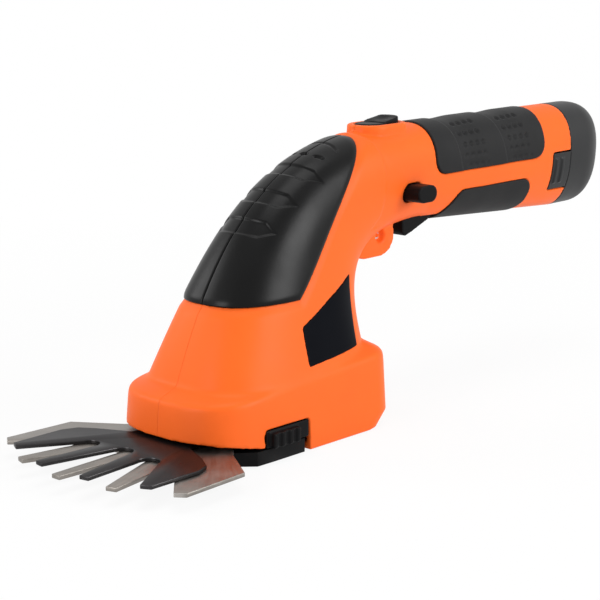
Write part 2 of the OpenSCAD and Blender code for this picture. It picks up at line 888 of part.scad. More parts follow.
module motor_can() {
    color(steel) translate([motor_x, 0, frame_top]) difference() {
        union() {
            cylinder(h = motor_l - cap_h, r = motor_d / 2);
            translate([0, 0, -motor_boss_h]) cylinder(h = motor_boss_h, r = motor_boss_r);
        }
        translate([0, 0, can_base_t]) cylinder(h = motor_l, r = can_inner_r);
        translate([0, 0, -motor_boss_h - 1]) cylinder(h = motor_l, r = motor_shaft_r + run_gap);
        for (s = [-1, 1]) translate([0, s * motor_screw_y, -1])
            cylinder(h = can_base_t + 2, r = motor_screw_r);
    }
}

module motor_magnets() {
    color(black) translate([motor_x, 0, frame_top + magnet_z]) difference() {
        cylinder(h = magnet_l, r = can_inner_r);
        translate([0, 0, -1]) cylinder(h = magnet_l + 2, r = armature_r + 0.6);
        translate([-big / 2, -3, -1]) cube([big, 6, magnet_l + 2]);
    }
}

module motor_cap() {
    color(black) translate([motor_x, 0, frame_top + motor_l - cap_h]) difference() {
        union() {
            cylinder(h = cap_h, r = motor_d / 2 - 0.6);
            for (s = [-1, 1]) translate([-0.4, s * motor_tab_y - 1.2, cap_h])
                cube([0.8, 2.4, motor_tab_h]);
        }
        translate([0, 0, -1]) cylinder(h = cap_bore + 1, r = motor_shaft_r + run_gap);
    }
}

module motor_armature() {
    poles = 3;
    color(copper) translate([motor_x, 0, frame_top + magnet_z + 2]) difference() {
        cylinder(h = magnet_l - 4, r = armature_r);
        translate([0, 0, -1]) cylinder(h = magnet_l, r = motor_shaft_r);
        for (i = [0:poles - 1]) rotate(360 * i / poles) translate([armature_r * 0.55, -1.4, -1])
            cube([armature_r, 2.8, magnet_l]);
    }
}

module motor_screws() {
    color(zinc) for (s = [-1, 1]) translate([motor_x, s * motor_screw_y, frame_z]) {
        translate([0, 0, -motor_screw_head_t]) cylinder(h = motor_screw_head_t, r = motor_screw_head_r);
        cylinder(h = frame_t + can_base_t, r = motor_screw_r);
    }
}

module motor_shaft() {
    shaft_end = frame_top + motor_l - cap_h + cap_bore - 0.3;
    color(steel) translate([motor_x, 0, gear_z]) cylinder(h = shaft_end - gear_z, r = motor_shaft_r);
}

module pinion() {
    color(brass) translate([motor_x, 0, gear_z]) rotate(180 + 180 / pinion_teeth) difference() {
        linear_extrude(height = gear_t) polygon(gear_outline(pinion_teeth, gear_backlash));
        translate([0, 0, -1]) cylinder(h = gear_t + 2, r = motor_shaft_r);
    }
}

module shaft_bush() {
    color(brass) translate([crank_x, 0, frame_z]) difference() {
        cylinder(h = frame_t + 3.2, r = bush_r);
        translate([0, 0, -1]) cylinder(h = frame_t + 6, r = shaft_r + run_gap);
    }
}

pin_seat = gear_t / 2 - 0.2;
module gear_shaft() {
    color(steel) translate([crank_x, 0, gear_z + gear_t / 2])
        cylinder(h = gear_t / 2 + frame_t + 5, r = shaft_r);
}

module shaft_clip() {
    color(dark_steel) translate([crank_x, 0, frame_top + 3.4]) difference() {
        cylinder(h = 0.8, r = bush_r);
        translate([0, 0, -1]) cylinder(h = 3, r = shaft_r);
    }
}

module drive_gear() {
    color(white) translate([crank_x, 0, gear_z]) difference() {
        linear_extrude(height = gear_t) polygon(gear_outline(gear_teeth, gear_backlash));
        translate([0, 0, gear_t / 2]) cylinder(h = gear_t, r = shaft_r);
        translate([crank_r, 0, -1]) cylinder(h = pin_seat + 1, r = crank_pin_r);
        for (a = [45:90:315]) rotate(a) translate([gear_outer_r * 0.58, 0, -1])
            cylinder(h = gear_t + 2, r = gear_outer_r * 0.17);
    }
}

roller_z = [upper_blade_z - 0.3, gear_cover_z - 0.3];
module crank_pin() {
    pin_low = roller_z[0] - 0.6;
    color(steel) translate([crank_x + crank_r, 0, pin_low])
        cylinder(h = gear_z + pin_seat - pin_low, r = crank_pin_r);
}

module crank_roller() {
    color(brass) translate([crank_x + crank_r, 0, roller_z[0]]) difference() {
        cylinder(h = roller_z[1] - roller_z[0], r = roller_r);
        translate([0, 0, -1]) cylinder(h = big, r = crank_pin_r + run_gap);
    }
}

// Blade set
function tip_out(tip_r, teeth) = tip_r * sin((teeth - 1) / 2 * tooth_pitch) + tooth_tip_w / 2;
function tip_arc(tip_r, y_out) = let (a_out = asin(y_out / tip_r), n = 24) [
    for (i = [0:n]) let (a = 180 + a_out - 2 * a_out * i / n) tip_r * [cos(a), sin(a)]
];

// Round-rooted gaps between the teeth, wider towards the tips
module tooth_gaps(tip_r, teeth) {
    past = 6;
    for (i = [0:teeth - 2]) {
        a = (i - (teeth - 2) / 2) * tooth_pitch;
        root = root_x / pow(cos(a), 2) + root_round_r;
        half_out = tip_r * sin(tooth_pitch / 2) - tooth_tip_w / 2;
        grow = (half_out - root_round_r) * past / (tip_r - root);
        rotate(a) {
            translate([-root, 0, -1]) cylinder(h = big, r = root_round_r);
            translate([0, 0, -1]) linear_extrude(height = big) polygon([
                [-root, -root_round_r], [-root, root_round_r],
                [-tip_r - past, half_out + grow], [-tip_r - past, -half_out - grow]
            ]);
        }
    }
}

lower_corner_x = -29;
lower_waist = [[-17.8, 27.4], [carrier_front - 0.6, base_half_w - 5.5], [-9, 16.4], [9, 15.4]];
module lower_blade() {
    y_out = tip_out(lower_tip_r, lower_teeth);
    half_side = concat([[lower_corner_x, y_out - 1.4]], lower_waist);
    n = len(half_side);
    color(steel) translate([0, 0, lower_blade_z]) difference() {
        linear_extrude(height = blade_t) polygon(concat(
            tip_arc(lower_tip_r, y_out),
            [for (p = half_side) p],
            [for (i = [n - 1:-1:0]) [half_side[i][0], -half_side[i][1]]]
        ));
        tooth_gaps(lower_tip_r, lower_teeth);
        translate([0, 0, -1]) cylinder(h = 9, r = pivot_r);
        for (p = rivet_places, s = [-1, 1]) translate([p[0], s * p[1], -1]) cylinder(h = 9, r = rivet_r);
    }
}

shoulder_x = -41;
shoulder_r = 8;
waist_place = [-25.5, 14.5];
module upper_blade() {
    y_out = tip_out(upper_tip_r, upper_teeth);
    slot_half = roller_r + slot_gap;
    slot_x = [crank_x - crank_r - slot_half, crank_x + crank_r + slot_half];
    tail_end = slot_x[1] + 3.4;
    round_out = [shoulder_x + shoulder_r * 0.72, y_out - shoulder_r * 0.3];
    half_side = [
        [shoulder_x, y_out], round_out, [shoulder_x + 9.5, y_out - shoulder_r], waist_place,
        [-hub_r + 3, hub_r - 3.5]
    ];
    color(dark_steel) translate([0, 0, upper_blade_z]) difference() {
        union() {
            linear_extrude(height = blade_t) polygon(concat(
                tip_arc(upper_tip_r, y_out),
                half_side,
                [for (i = [len(half_side) - 1:-1:0]) [half_side[i][0], -half_side[i][1]]]
            ));
            cylinder(h = blade_t, r = hub_r);
            translate([0, -tail_half_w, 0]) cube([tail_end, 2 * tail_half_w, blade_t]);
        }
        tooth_gaps(upper_tip_r, upper_teeth);
        translate([0, 0, -1]) cylinder(h = 9, r = pivot_r + run_gap);
        translate([slot_x[0], -slot_half, -1]) cube([slot_x[1] - slot_x[0], 2 * slot_half, 9]);
    }
}

post_base = 1.5;
post_head_t = 0.6;
module pivot_post() {
    color(steel) {
        translate([0, 0, post_base]) cylinder(h = blade_top + run_gap - post_base, r = pivot_r);
        translate([0, 0, blade_top + run_gap]) cylinder(h = post_head_t, r = pivot_r + 2);
    }
}

module blade_rivets() {
    color(steel) for (p = rivet_places, s = [-1, 1]) translate([p[0], s * p[1], 0]) {
        translate([0, 0, post_base]) cylinder(h = lower_blade_z + blade_t - post_base, r = rivet_r);
    }
}

module blade_carrier() {
    y = base_half_w;
    chamfer_x = carrier_front + carrier_chamfer;
    color(black) difference() {
        union() {
            intersection() {
                linear_extrude(height = carrier_t) polygon(skirt_plan(0));
                linear_extrude(height = carrier_t) polygon([
                    [carrier_front, -y + carrier_chamfer], [chamfer_x, -y], [chamfer_x, -y - 5],
                    [carrier_rear, -y - 5], [carrier_rear, y + 5],
                    [chamfer_x, y + 5], [chamfer_x, y], [carrier_front, y - carrier_chamfer]
                ]);
            }
            translate([tongue_front, -tongue_half_w, 0])
                cube([carrier_front - tongue_front + 1, 2 * tongue_half_w, carrier_t]);
            block([0, -tail_cover[1], 0], [tail_cover[0], tail_cover[1], wall]);
            guide_l = carrier_rear - release_grip_x[0] - 1;
            for (s = [-1, 1]) translate([release_grip_x[0], s < 0 ? -guide_y[1] : guide_y[0], 0])
                cube([guide_l, guide_y[1] - guide_y[0], carrier_t + guide_h]);
        }
        translate([0, 0, post_base]) cylinder(h = 20, r = pivot_r);
        for (p = rivet_places, s = [-1, 1]) translate([p[0], s * p[1], post_base])
            cylinder(h = 20, r = rivet_r);
        slot_y = guide_y[0] - 1.5;
        slot_l = 7;
        for (x = stem_x, s = [-1, 1])
            translate([x - stem_w / 2 - seat_gap, s < 0 ? -slot_y - slot_l : slot_y, carrier_t + 0.3])
            cube([stem_w + 2 * seat_gap, slot_l, stem_h + 0.5]);
        for (s = [-1, 1]) translate([carrier_rear, s * (y + 1), -1]) rotate(45)
            cube([5, 5, 20], center = true);
    }
}

stem_z = carrier_t + 0.5;
release_spring_z = stem_z + stem_h / 2;
release_inner_y = release_y - release_plate_t;
module release_button(side) {
    gap = move_gap / 2;
    z0 = carrier_t + gap;
    z1 = release_z[1] - gap;
    rib_n = 4;
    rib_h = 0.6;
    face_y = release_y + release_proud - rib_h;
    rib_w = (release_grip_x[1] - release_grip_x[0]) / (2 * rib_n - 1);
    color(black) mirror([0, side < 0 ? 1 : 0, 0]) {
        block([release_x[0] + gap, release_inner_y, z0], [release_x[1] - gap, release_y, z1]);
        block([release_grip_x[0], release_y, z0], [release_grip_x[1], face_y, z1 - 1]);
        for (i = [0:rib_n - 1]) {
            x = release_grip_x[0] + 2 * i * rib_w;
            block([x, face_y, z0], [x + rib_w, face_y + rib_h, z1 - 1]);
        }
        for (x = stem_x) block([x - stem_w / 2, guide_y[1] - 1.4, stem_z],
            [x + stem_w / 2, release_inner_y, stem_z + stem_h]);
    }
}

module left_release_button() { release_button(-1); }
module right_release_button() { release_button(1); }

module release_spring(side) {
    length = release_inner_y - guide_y[1];
    color(steel) mirror([0, side < 0 ? 1 : 0, 0])
        translate([(stem_x[0] + stem_x[1]) / 2, guide_y[1], release_spring_z])
        rotate([-90, 0, 0]) coil(release_spring_r, 0.4, length, 4);
}

module left_release_spring() { release_spring(-1); }
module right_release_spring() { release_spring(1); }

// Controls
module trigger() {
    low = trigger_nose_z;
    top = trigger_pad_z;
    front = trigger_front;
    r = trigger_nose_r;
    l = trigger_l;
    h = top - low;
    outline = concat(
        [[front + 0.415 * l, top], [front + 0.04 * l, low + 0.74 * h], [front, low + 0.54 * h]],
        [for (a = [180:30:270]) [front + 0.2 + r + r * cos(a), low + r + r * sin(a)]],
        [[front + 0.226 * l, low + 0.072 * h], [front + 0.415 * l, low + 0.2 * h],
            [front + 0.6 * l, low + 0.32 * h], [front + 0.68 * l, low + 0.42 * h],
            [front + 0.7 * l, low + 0.49 * h],
            [trigger_x - 1, trigger_z - trigger_hub_r + 0.2], [trigger_x, trigger_z], [trigger_x - 1, top]]
    );
    color(black) difference() {
        union() {
            side_prism(outline, trigger_w);
            rod_y(trigger_x, trigger_z, -trigger_w / 2, trigger_w / 2, trigger_hub_r);
        }
        rod_y(trigger_x, trigger_z, -trigger_w, trigger_w, trigger_pin_r + run_gap);
    }
}

module trigger_pin() {
    reach = trigger_w / 2 + trigger_pin_reach;
    color(steel) rod_y(trigger_x, trigger_z, -reach, reach, trigger_pin_r);
}

module trigger_spring() {
    color(steel) translate([trigger_spring_x, 0, trigger_pad_z])
        coil(trigger_spring_r, 0.5, switch_z[0] - trigger_pad_z, 4);
}

module switch_space(grow) {
    block([switch_x[0] - grow, -switch_half_w - grow, switch_z[0] - grow],
        [switch_x[1] + grow, switch_half_w + grow, switch_z[1] + grow]);
}

module power_switch() {
    plunger_x = switch_x[0] + 3.5;
    plunger_l = 2.6;
    color(black) {
        switch_space(0);
        translate([plunger_x, 0, switch_z[0] - plunger_l]) cylinder(h = plunger_l, r = 1.2);
        for (x = [switch_x[0] + 4, switch_x[1] - 4])
            block([x - 1.2, -0.4, switch_z[1]], [x + 1.2, 0.4, switch_z[1] + 2.4]);
    }
}

module lock_off_button() {
    head_in = lock_flange_y - lock_flange_t;
    color(black) {
        oblong_y(lock_x, lock_z, -lock_skin_y - lock_proud, -lock_flange_y, lock_l, lock_h);
        oblong_y(lock_x, lock_z, -lock_flange_y, -head_in,
            lock_l + 2 * lock_flange_rim, lock_h + 2 * lock_flange_rim);
        rod_y(lock_x, lock_z, -head_in, lock_head_y, lock_rod_r);
        oblong_y(lock_x, lock_z, lock_head_y, lock_skin_y, lock_l, lock_h);
    }
}

module lock_off_spring() {
    start = lock_flange_y - lock_flange_t;
    color(steel) translate([lock_x, -start, lock_z]) rotate([-90, 0, 0])
        coil(lock_rod_r + 1.1, 0.6, start + lock_rib_y[0], 5);
}

module thumb_button() {
    front = thumb_x - thumb_l / 2;
    step_x = front + thumb_l * 0.48;
    thumb_dish_r = thumb_l * 0.58;
    color(black) difference() {
        oval(thumb_x, thumb_bottom, thumb_top, thumb_l, thumb_w);
        translate([front - 1, -thumb_w, pedestal_top + 0.2]) cube([step_x - front, 2 * thumb_w, 9]);
        translate([thumb_x + thumb_l * 0.14, 0, thumb_top + thumb_dish_r - 0.8]) rotate([90, 0, 0])
            cylinder(h = thumb_w * 2, r = thumb_dish_r, center = true);
        translate([thumb_x, 0, thumb_bottom - 1]) cylinder(h = thumb_well + 1, r = thumb_spring_r + 0.6);
    }
}

module thumb_spring() {
    color(steel) translate([thumb_x, 0, thumb_floor])
        coil(thumb_spring_r, 0.5, thumb_bottom + thumb_well - thumb_floor, 4);
}

// Electrics
module control_board() {
    top = board_z + board_t;
    chip_half_w = 4;
    can_h = 6;
    can_r = 3;
    color(board_green) {
        block([board_x[0], -board_half_w, board_z], [board_x[1], board_half_w, top]);
        block([board_x[0] + 14, -chip_half_w, top], [board_x[0] + 20, chip_half_w, top + 2.2]);
        block([board_x[0] + 12, -chip_half_w - 1, board_z - 3.2],
            [board_x[0] + 21, chip_half_w + 1, board_z]);
        translate([board_x[1] - 14, 0, board_z - can_h]) cylinder(h = can_h, r = can_r);
    }
}

module motor_leads() {
    color(copper) {
        lead(motor_route);
        lead(mirror_y(motor_route));
    }
}

module battery_leads() {
    color(copper) {
        lead(battery_route);
        lead(mirror_y(battery_route));
    }
}

module contact_space(grow) {
    block([contact_x[0] - grow, -contact_half_w - grow, handle_axis_z - contact_half_h - grow],
        [contact_x[1] + grow, contact_half_w + grow, handle_axis_z + contact_half_h + grow]);
}

module contact_block() {
    color(black) difference() {
        contact_space(0);
        contact_blade_set(0);
    }
}

// Flat contacts in a row across the block
module contact_blade_set(grow) {
    half_t = contact_blade[1] / 2 + grow;
    half_h = contact_blade[2] / 2 + grow;
    for (i = [-1:1]) block(
        [contact_x[0] + 2, i * blade_pitch - half_t, handle_axis_z - half_h],
        [contact_x[1] + contact_blade[0], i * blade_pitch + half_t, handle_axis_z + half_h]
    );
}

module contact_blades() {
    color(brass) contact_blade_set(0);
}

// Battery pack
tail_hollow = [for (f = [0.12, 0.7, 0.86]) handle_end + battery_tail * f];
tail_shrink = [[0, 0], [0.45, 0], [0.68, 0.9], [0.85, 2.9], [1, 6.4]];
module battery_form() {
    start = handle_end + seat_gap;
    loft([handle_station(battery_front), handle_station(start + 1)], battery_inset, core_n);
    length = battery_tail - seat_gap;
    loft([for (p = tail_shrink) handle_station(start + p[0] * length, p[1])], 0);
}

module battery_case() {
    chamber = battery_front + battery_wall;
    color(soft_black) difference() {
        battery_form();
        for (s = [-1, 1]) {
            translate([cell_x - 0.3, 0, handle_axis_z + s * cell_step]) rotate([0, 90, 0])
                cylinder(h = cell_l + 0.6, r = cell_bore_r, $fn = 40);
            rod_y(latch_pin_x, latch_pin_z, s < 0 ? -handle_w : latch_well_y,
                s < 0 ? -latch_well_y : handle_w, latch_well_r);
            rod_y(latch_pin_x, latch_pin_z, s < 0 ? -handle_w : latch_pin_stop,
                s < 0 ? -latch_pin_stop : handle_w, latch_pin_r + seat_gap);
        }
        difference() {
            block([latch_x[0] - 0.4, -big, latch_z[0] - 0.4], [latch_x[1] - 0.2, big, latch_z[1] + 0.4]);
            loft([handle_station(latch_x[0] - 2), handle_station(latch_x[1] + 2)], latch_pocket);
        }
        chamber_half = board2_half + 0.2;
        block([chamber, -chamber_half, handle_axis_z - chamber_half],
            [cell_x, chamber_half, handle_axis_z + chamber_half]);
        cells_end = cell_x + cell_l - 1;
        block([cells_end, -3, handle_axis_z - 5],
            [max(tail_hollow[0], cells_end) + 1, 3, handle_axis_z + 5]);
        loft([for (i = [0:2]) handle_station(tail_hollow[i], i)], 2 * battery_wall, core_n);
        contact_blade_set(move_gap);
    }
}

module battery_cells() {
    color(cell_blue) for (s = [-1, 1]) translate([cell_x, 0, handle_axis_z + s * cell_step])
        rotate([0, 90, 0]) cylinder(h = cell_l, r = cell_d / 2);
}

clip_back = battery_front + battery_wall + chamber_l;
module protection_board() {
    color(board_green) block([clip_back, -board2_half, handle_axis_z - board2_half],
        [clip_back + board2_t, board2_half, handle_axis_z + board2_half]);
}

module terminal_clips() {
    leaf = 0.4;
    inner = contact_blade[1] / 2 + 0.1;
    clip_l = 5.4;
    color(brass) for (i = [-1:1]) translate([0, i * blade_pitch, handle_axis_z]) {
        for (s = [-1, 1]) block([clip_back - clip_l, s < 0 ? -inner - leaf : inner, -2.4],
            [clip_back, s < 0 ? -inner : inner + leaf, 2.4]);
        block([clip_back - leaf, -inner - leaf, -2.4], [clip_back, inner + leaf, 2.4]);
    }
}

module battery_latch(side) {
    gap = move_gap;
    color(soft_black) half(side) {
        intersection() {
            difference() {
                loft([handle_station(latch_x[0] - 1), handle_station(latch_x[1] + 1)], 0);
                loft([handle_station(latch_x[0] - 2), handle_station(latch_x[1] + 2)], latch_t);
            }
            block([latch_x[0] + gap, -big, latch_z[0] + gap], [latch_x[1] - gap, big, latch_z[1] - gap]);
        }
        for (s = [-1, 1]) rod_y(latch_pin_x, latch_pin_z,
            s < 0 ? -handle_w / 2 + latch_t / 2 : latch_pin_end,
            s < 0 ? -latch_pin_end : handle_w / 2 - latch_t / 2, latch_pin_r);
    }
}

module left_battery_latch() { battery_latch(-1); }
module right_battery_latch() { battery_latch(1); }

module latch_spring(side) {
    length = handle_w / 2 - latch_t - latch_well_y - 0.2;
    color(steel) mirror([0, side < 0 ? 1 : 0, 0]) translate([latch_pin_x, latch_well_y, latch_pin_z])
        rotate([-90, 0, 0]) coil(latch_spring_r, 0.4, length, 4);
}

module left_latch_spring() { latch_spring(-1); }
module right_latch_spring() { latch_spring(1); }

left_housing();
right_housing();
left_front_cover();
right_front_cover();
left_side_plate();
right_side_plate();
top_grip();
lower_grip();
housing_screws();
gearbox_frame();
gear_cover();
gear_cover_screws();
motor_can();
motor_magnets();
motor_cap();
motor_armature();
motor_screws();
motor_shaft();
pinion();
shaft_bush();
gear_shaft();
shaft_clip();
drive_gear();
crank_pin();
crank_roller();
blade_carrier();
lower_blade();
upper_blade();
pivot_post();
blade_rivets();
left_release_button();
right_release_button();
left_release_spring();
right_release_spring();
trigger();
trigger_pin();
trigger_spring();
power_switch();
lock_off_button();
lock_off_spring();
thumb_button();
thumb_spring();
control_board();
motor_leads();
battery_leads();
contact_block();
contact_blades();
battery_case();
battery_cells();
protection_board();
terminal_clips();
left_battery_latch();
right_battery_latch();
left_latch_spring();
right_latch_spring();
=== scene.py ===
"""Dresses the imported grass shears: smooth moulded skins, finishes, studio and camera."""

import logging
import math
from dataclasses import dataclass
from enum import Enum
from typing import Callable, Iterable

import bmesh
import bpy
import numpy as np
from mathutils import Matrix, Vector
from mathutils.bvhtree import BVHTree


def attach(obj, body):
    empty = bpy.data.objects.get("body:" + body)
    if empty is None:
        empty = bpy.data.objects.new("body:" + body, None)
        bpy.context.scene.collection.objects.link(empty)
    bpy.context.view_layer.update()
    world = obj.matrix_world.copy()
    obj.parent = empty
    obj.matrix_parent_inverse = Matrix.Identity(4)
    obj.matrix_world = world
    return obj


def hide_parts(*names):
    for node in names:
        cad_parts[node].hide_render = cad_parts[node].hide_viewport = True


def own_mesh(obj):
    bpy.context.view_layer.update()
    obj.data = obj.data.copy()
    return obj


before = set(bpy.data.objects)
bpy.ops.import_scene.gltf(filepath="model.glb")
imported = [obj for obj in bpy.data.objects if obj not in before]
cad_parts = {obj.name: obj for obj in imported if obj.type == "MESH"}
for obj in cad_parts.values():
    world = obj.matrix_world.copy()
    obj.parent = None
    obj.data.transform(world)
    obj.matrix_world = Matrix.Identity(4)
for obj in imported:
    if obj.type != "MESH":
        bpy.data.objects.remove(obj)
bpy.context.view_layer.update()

LOG = logging.getLogger("grass_shears")
MM = 0.001
CURVE_STEPS = 401
OUT_OF_REACH = 1e9
WHITE = (1.0, 1.0, 1.0, 1.0)
PointField = Callable[[np.ndarray], np.ndarray]
Pair = tuple[float, float]
Outline = tuple[Pair, ...]
Colour = tuple[float, float, float]
Place = tuple[float, float, float]


class Side(Enum):
    """The two sides of the tool; the left one lies at negative Y."""

    LEFT = -1
    RIGHT = 1

    @property
    def word(self) -> str:
        """The side's name as it stands in piece names."""
        return self.name.lower()


class Body(str, Enum):
    """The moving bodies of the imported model."""

    HOUSING = "housing"
    BLADE_SET = "blade_set"
    SWING_BLADE = "swing_blade"
    TRIGGER = "trigger"
    LOCK_OFF = "lock_off"
    THUMB = "thumb"
    BATTERY = "battery"


class Texture(Enum):
    """Kinds of fine surface detail that a finish can carry."""

    GRAINED = "grained"
    BRUSHED = "brushed"


def signed_power(values: np.ndarray, exponent: np.ndarray) -> np.ndarray:
    """Raises values to a power and keeps their signs."""
    return np.sign(values) * np.abs(values) ** exponent


def smoothstep(low: float, high: float, values: np.ndarray) -> np.ndarray:
    """Rises smoothly from 0 at low to 1 at high."""
    t = np.clip((values - low) / (high - low), 0.0, 1.0)
    return t * t * (3.0 - 2.0 * t)


def window(values: np.ndarray, low: float, high: float, soft: float) -> np.ndarray:
    """1 between low and high and 0 outside, with ramps that reach soft to both sides of each."""
    return smoothstep(low - soft, low + soft, values) * smoothstep(high + soft, high - soft, values)


def bezier(points: Outline, t: np.ndarray) -> np.ndarray:
    """Points on a cubic curve.

    Args:
        points: the four control points.
        t: places along the curve, from 0 to 1.

    Returns:
        One row for each place.
    """
    start, leave, arrive, end = np.array(points, float)
    t = np.asarray(t, float)[..., None]
    return ((1 - t) ** 3 * start + 3 * (1 - t) ** 2 * t * leave
            + 3 * (1 - t) * t * t * arrive + t ** 3 * end)


def run_lengths(line: np.ndarray) -> np.ndarray:
    """Length of a line of points from its start to each of them."""
    return np.concatenate([[0], np.cumsum(np.linalg.norm(np.diff(line, axis=0), axis=1))])


def resample(line: np.ndarray, run: np.ndarray, places: np.ndarray) -> np.ndarray:
    """Points of a line at new places along it.

    Args:
        line: the line's points.
        run: place of each of them along the line.
        places: the new places.

    Returns:
        One point for each new place.
    """
    return np.stack([np.interp(places, run, values) for values in line.T], 1)


def outward(grid: np.ndarray) -> np.ndarray:
    """Unit normals of a grid of points.

    Args:
        grid: rows of points from below upward, each running from front to rear.

    Returns:
        One normal for each point, away from the middle plane.
    """
    normal = np.cross(np.gradient(grid, axis=0), np.gradient(grid, axis=1))
    return normal / np.linalg.norm(normal, axis=2, keepdims=True)


@dataclass(frozen=True)
class Station:
    """One cross-section of the body: its two ends in the middle plane and its fullness."""

    near: np.ndarray
    far: np.ndarray
    half_width: float
    egg: float
    power: float
    front_power: float


@dataclass
class BodyForm:
    """The smooth outer form of the tool, in millimetres, that all skin pieces follow."""

    front_curve: Outline = ((-19, 22), (-1, 70.4), (24, 98.7), (72, 105.3))
    rear_curve: Outline = ((65, 22), (61, 50.2), (62, 68.8), (105, 68.8))
    tower_low_z: float = 12.0
    foot_half_w: float = 28.0
    foot_fade: float = 2.3
    foot_power: float = 3.4
    power_fade: float = 4.8
    neck_half_w: float = 15.0
    egg: float = 0.08
    rear_power: float = 3.6
    section_power: float = 2.3
    handle_start: float = 108.0
    handle_end: float = 200.0
    handle_top: float = 106.4
    handle_low: float = 68.4
    handle_taper: float = 5.4
    handle_half_w: float = 14.25
    handle_axis_z: float = 85.6
    tail_end: float = 228.0
    tail_round: float = 6.4
    tail_straight: float = 0.45
    tail_power: float = 2.3
    base_front: float = 27.5
    base_rear: float = 68.6
    base_half_w: float = 29.0
    corner_r: float = 12.0
    skirt_power: float = 2.8
    skirt_h: float = 22.0
    skirt_draft: float = 1.2
    shoulder_h: float = 24.0
    shoulder_in: float = 8.0
    rear_wall_h: float = 28.0
    rear_shoulder_h: float = 32.0
    bottom_round: float = 5.5
    tower_rings: int = 64
    tail_rings: int = 24
    ring_points: int = 144
    nose_points: int = 90
    corner_points: int = 24

    def middle_lines(self, t: np.ndarray) -> tuple[np.ndarray, np.ndarray]:
        """Front ends of the tower's cross-sections, and the ways from them to the rear ends."""
        near = bezier(self.front_curve, t)
        return near, bezier(self.rear_curve, t) - near

    def fullness(self, t: np.ndarray) -> tuple[np.ndarray, np.ndarray, np.ndarray]:
        """How wide and how square the tower's cross-sections are.

        Args:
            t: places from 0 at the tower's foot to 1 at the neck.

        Returns:
            Half the width, and the squareness of the rear and of the front, at each place.
        """
        half_width = self.neck_half_w + (self.foot_half_w - self.neck_half_w) * (1 - t) ** self.foot_fade
        rear = self.rear_power + (self.section_power - self.rear_power) * t
        front = self.section_power + (self.foot_power - self.section_power) * (1 - t) ** self.power_fade
        return half_width, rear, front

    def tower_station(self, t: float) -> Station:
        """The tower's cross-section at a place from 0 at its foot to 1 at the neck."""
        near, across = self.middle_lines(t)
        half_width, rear, front = self.fullness(t)
        return Station(near, near + across, half_width, self.egg * t, rear, front)

    def tower_place(self, flat: np.ndarray) -> np.ndarray:
        """Finds the tower's cross-section that passes through each point.

        Args:
            flat: points of a side view, in millimetres.

        Returns:
            The cross-sections' places, from 0 to 1.
        """
        t = np.linspace(0, 1, CURVE_STEPS)
        near, across = self.middle_lines(t)
        normal = np.stack([-across[:, 1], across[:, 0]], 1)
        offset = flat @ normal.T - (near * normal).sum(1)
        last = np.clip((offset > 0).sum(1) - 1, 0, len(t) - 2)
        row = np.arange(len(flat))
        before, after = offset[row, last], offset[row, last + 1]
        return t[last] + np.clip(before / (before - after), 0, 1) * (t[1] - t[0])

    def on_flank(self, flat: np.ndarray, proud: float) -> np.ndarray:
        """Lifts points of a side view onto the tower's surface at positive Y.

        Args:
            flat: places in the middle plane, in millimetres.
            proud: how far outside the form the surface lies.

        Returns:
            Points in millimetres.
        """
        t = self.tower_place(flat)
        near, across = self.middle_lines(t)
        length = np.linalg.norm(across, axis=1)
        q = ((flat - near - across / 2) * across).sum(1) / length / (length / 2 + proud)
        half, rear, front = self.fullness(t)
        power = np.where(q > 0, rear, front)
        y = (half + proud) * np.clip(1 - np.abs(q) ** power, 0, 1) ** (1 / power) * (1 - self.egg * t * q)
        return np.stack([flat[:, 0], y, flat[:, 1]], 1)

    def handle_station(self, x: float, shrink: float = 0.0) -> Station:
        """The handle's cross-section.

        Args:
            x: its place along the tool, in millimetres.
            shrink: how far it is drawn in.

        Returns:
            The cross-section.
        """
        along = min(1.0, (x - self.handle_start) / (self.handle_end - self.handle_start))
        low = self.handle_low - self.handle_taper * along
        return Station(np.array([x, self.handle_top - shrink]), np.array([x, low + shrink]),
                       self.handle_half_w - shrink, self.egg, self.section_power, self.section_power)

    def stations(self) -> list[Station]:
        """All cross-sections from the tower's foot to the handle's end."""
        foot = Station(np.array([self.front_curve[0][0], self.tower_low_z]),
                       np.array([self.rear_curve[0][0], self.tower_low_z]),
                       self.foot_half_w, 0.0, self.rear_power, self.foot_power)
        tower = [self.tower_station(i / self.tower_rings) for i in range(self.tower_rings + 1)]
        return [foot, *tower, *self.handle_stations()]

    def handle_stations(self) -> list[Station]:
        """The handle's two end cross-sections."""
        return [self.handle_station(self.handle_start), self.handle_station(self.handle_end)]

    def tail_stations(self) -> list[Station]:
        """Cross-sections of the battery's rounded tail."""
        places = np.linspace(0.0, 1.0, self.tail_rings)
        bend = np.clip((places - self.tail_straight) / (1 - self.tail_straight), 0, 1)
        shrink = self.tail_round * bend ** self.tail_power
        length = self.tail_end - self.handle_end
        return [self.handle_station(self.handle_end + length * u, s) for u, s in zip(places, shrink)]

    def ring(self, station: Station, proud: float = 0.0) -> np.ndarray:
        """Closed ring of points on a cross-section.

        Args:
            station: the cross-section.
            proud: how far outside it the ring lies.

        Returns:
            Points in millimetres.
        """
        across = station.far - station.near
        length = np.linalg.norm(across)
        middle = (station.near + station.far) / 2
        a = np.linspace(0, 2 * np.pi, self.ring_points, endpoint=False)
        exponent = 2.0 / np.where(np.cos(a) > 0, station.power, station.front_power)
        q = signed_power(np.cos(a), exponent)
        y = (station.half_width + proud) * signed_power(np.sin(a), exponent) * (1 - station.egg * q)
        x, z = middle[:, None] + (across / length)[:, None] * (length / 2 + proud) * q
        return np.stack([x, y, z], 1)

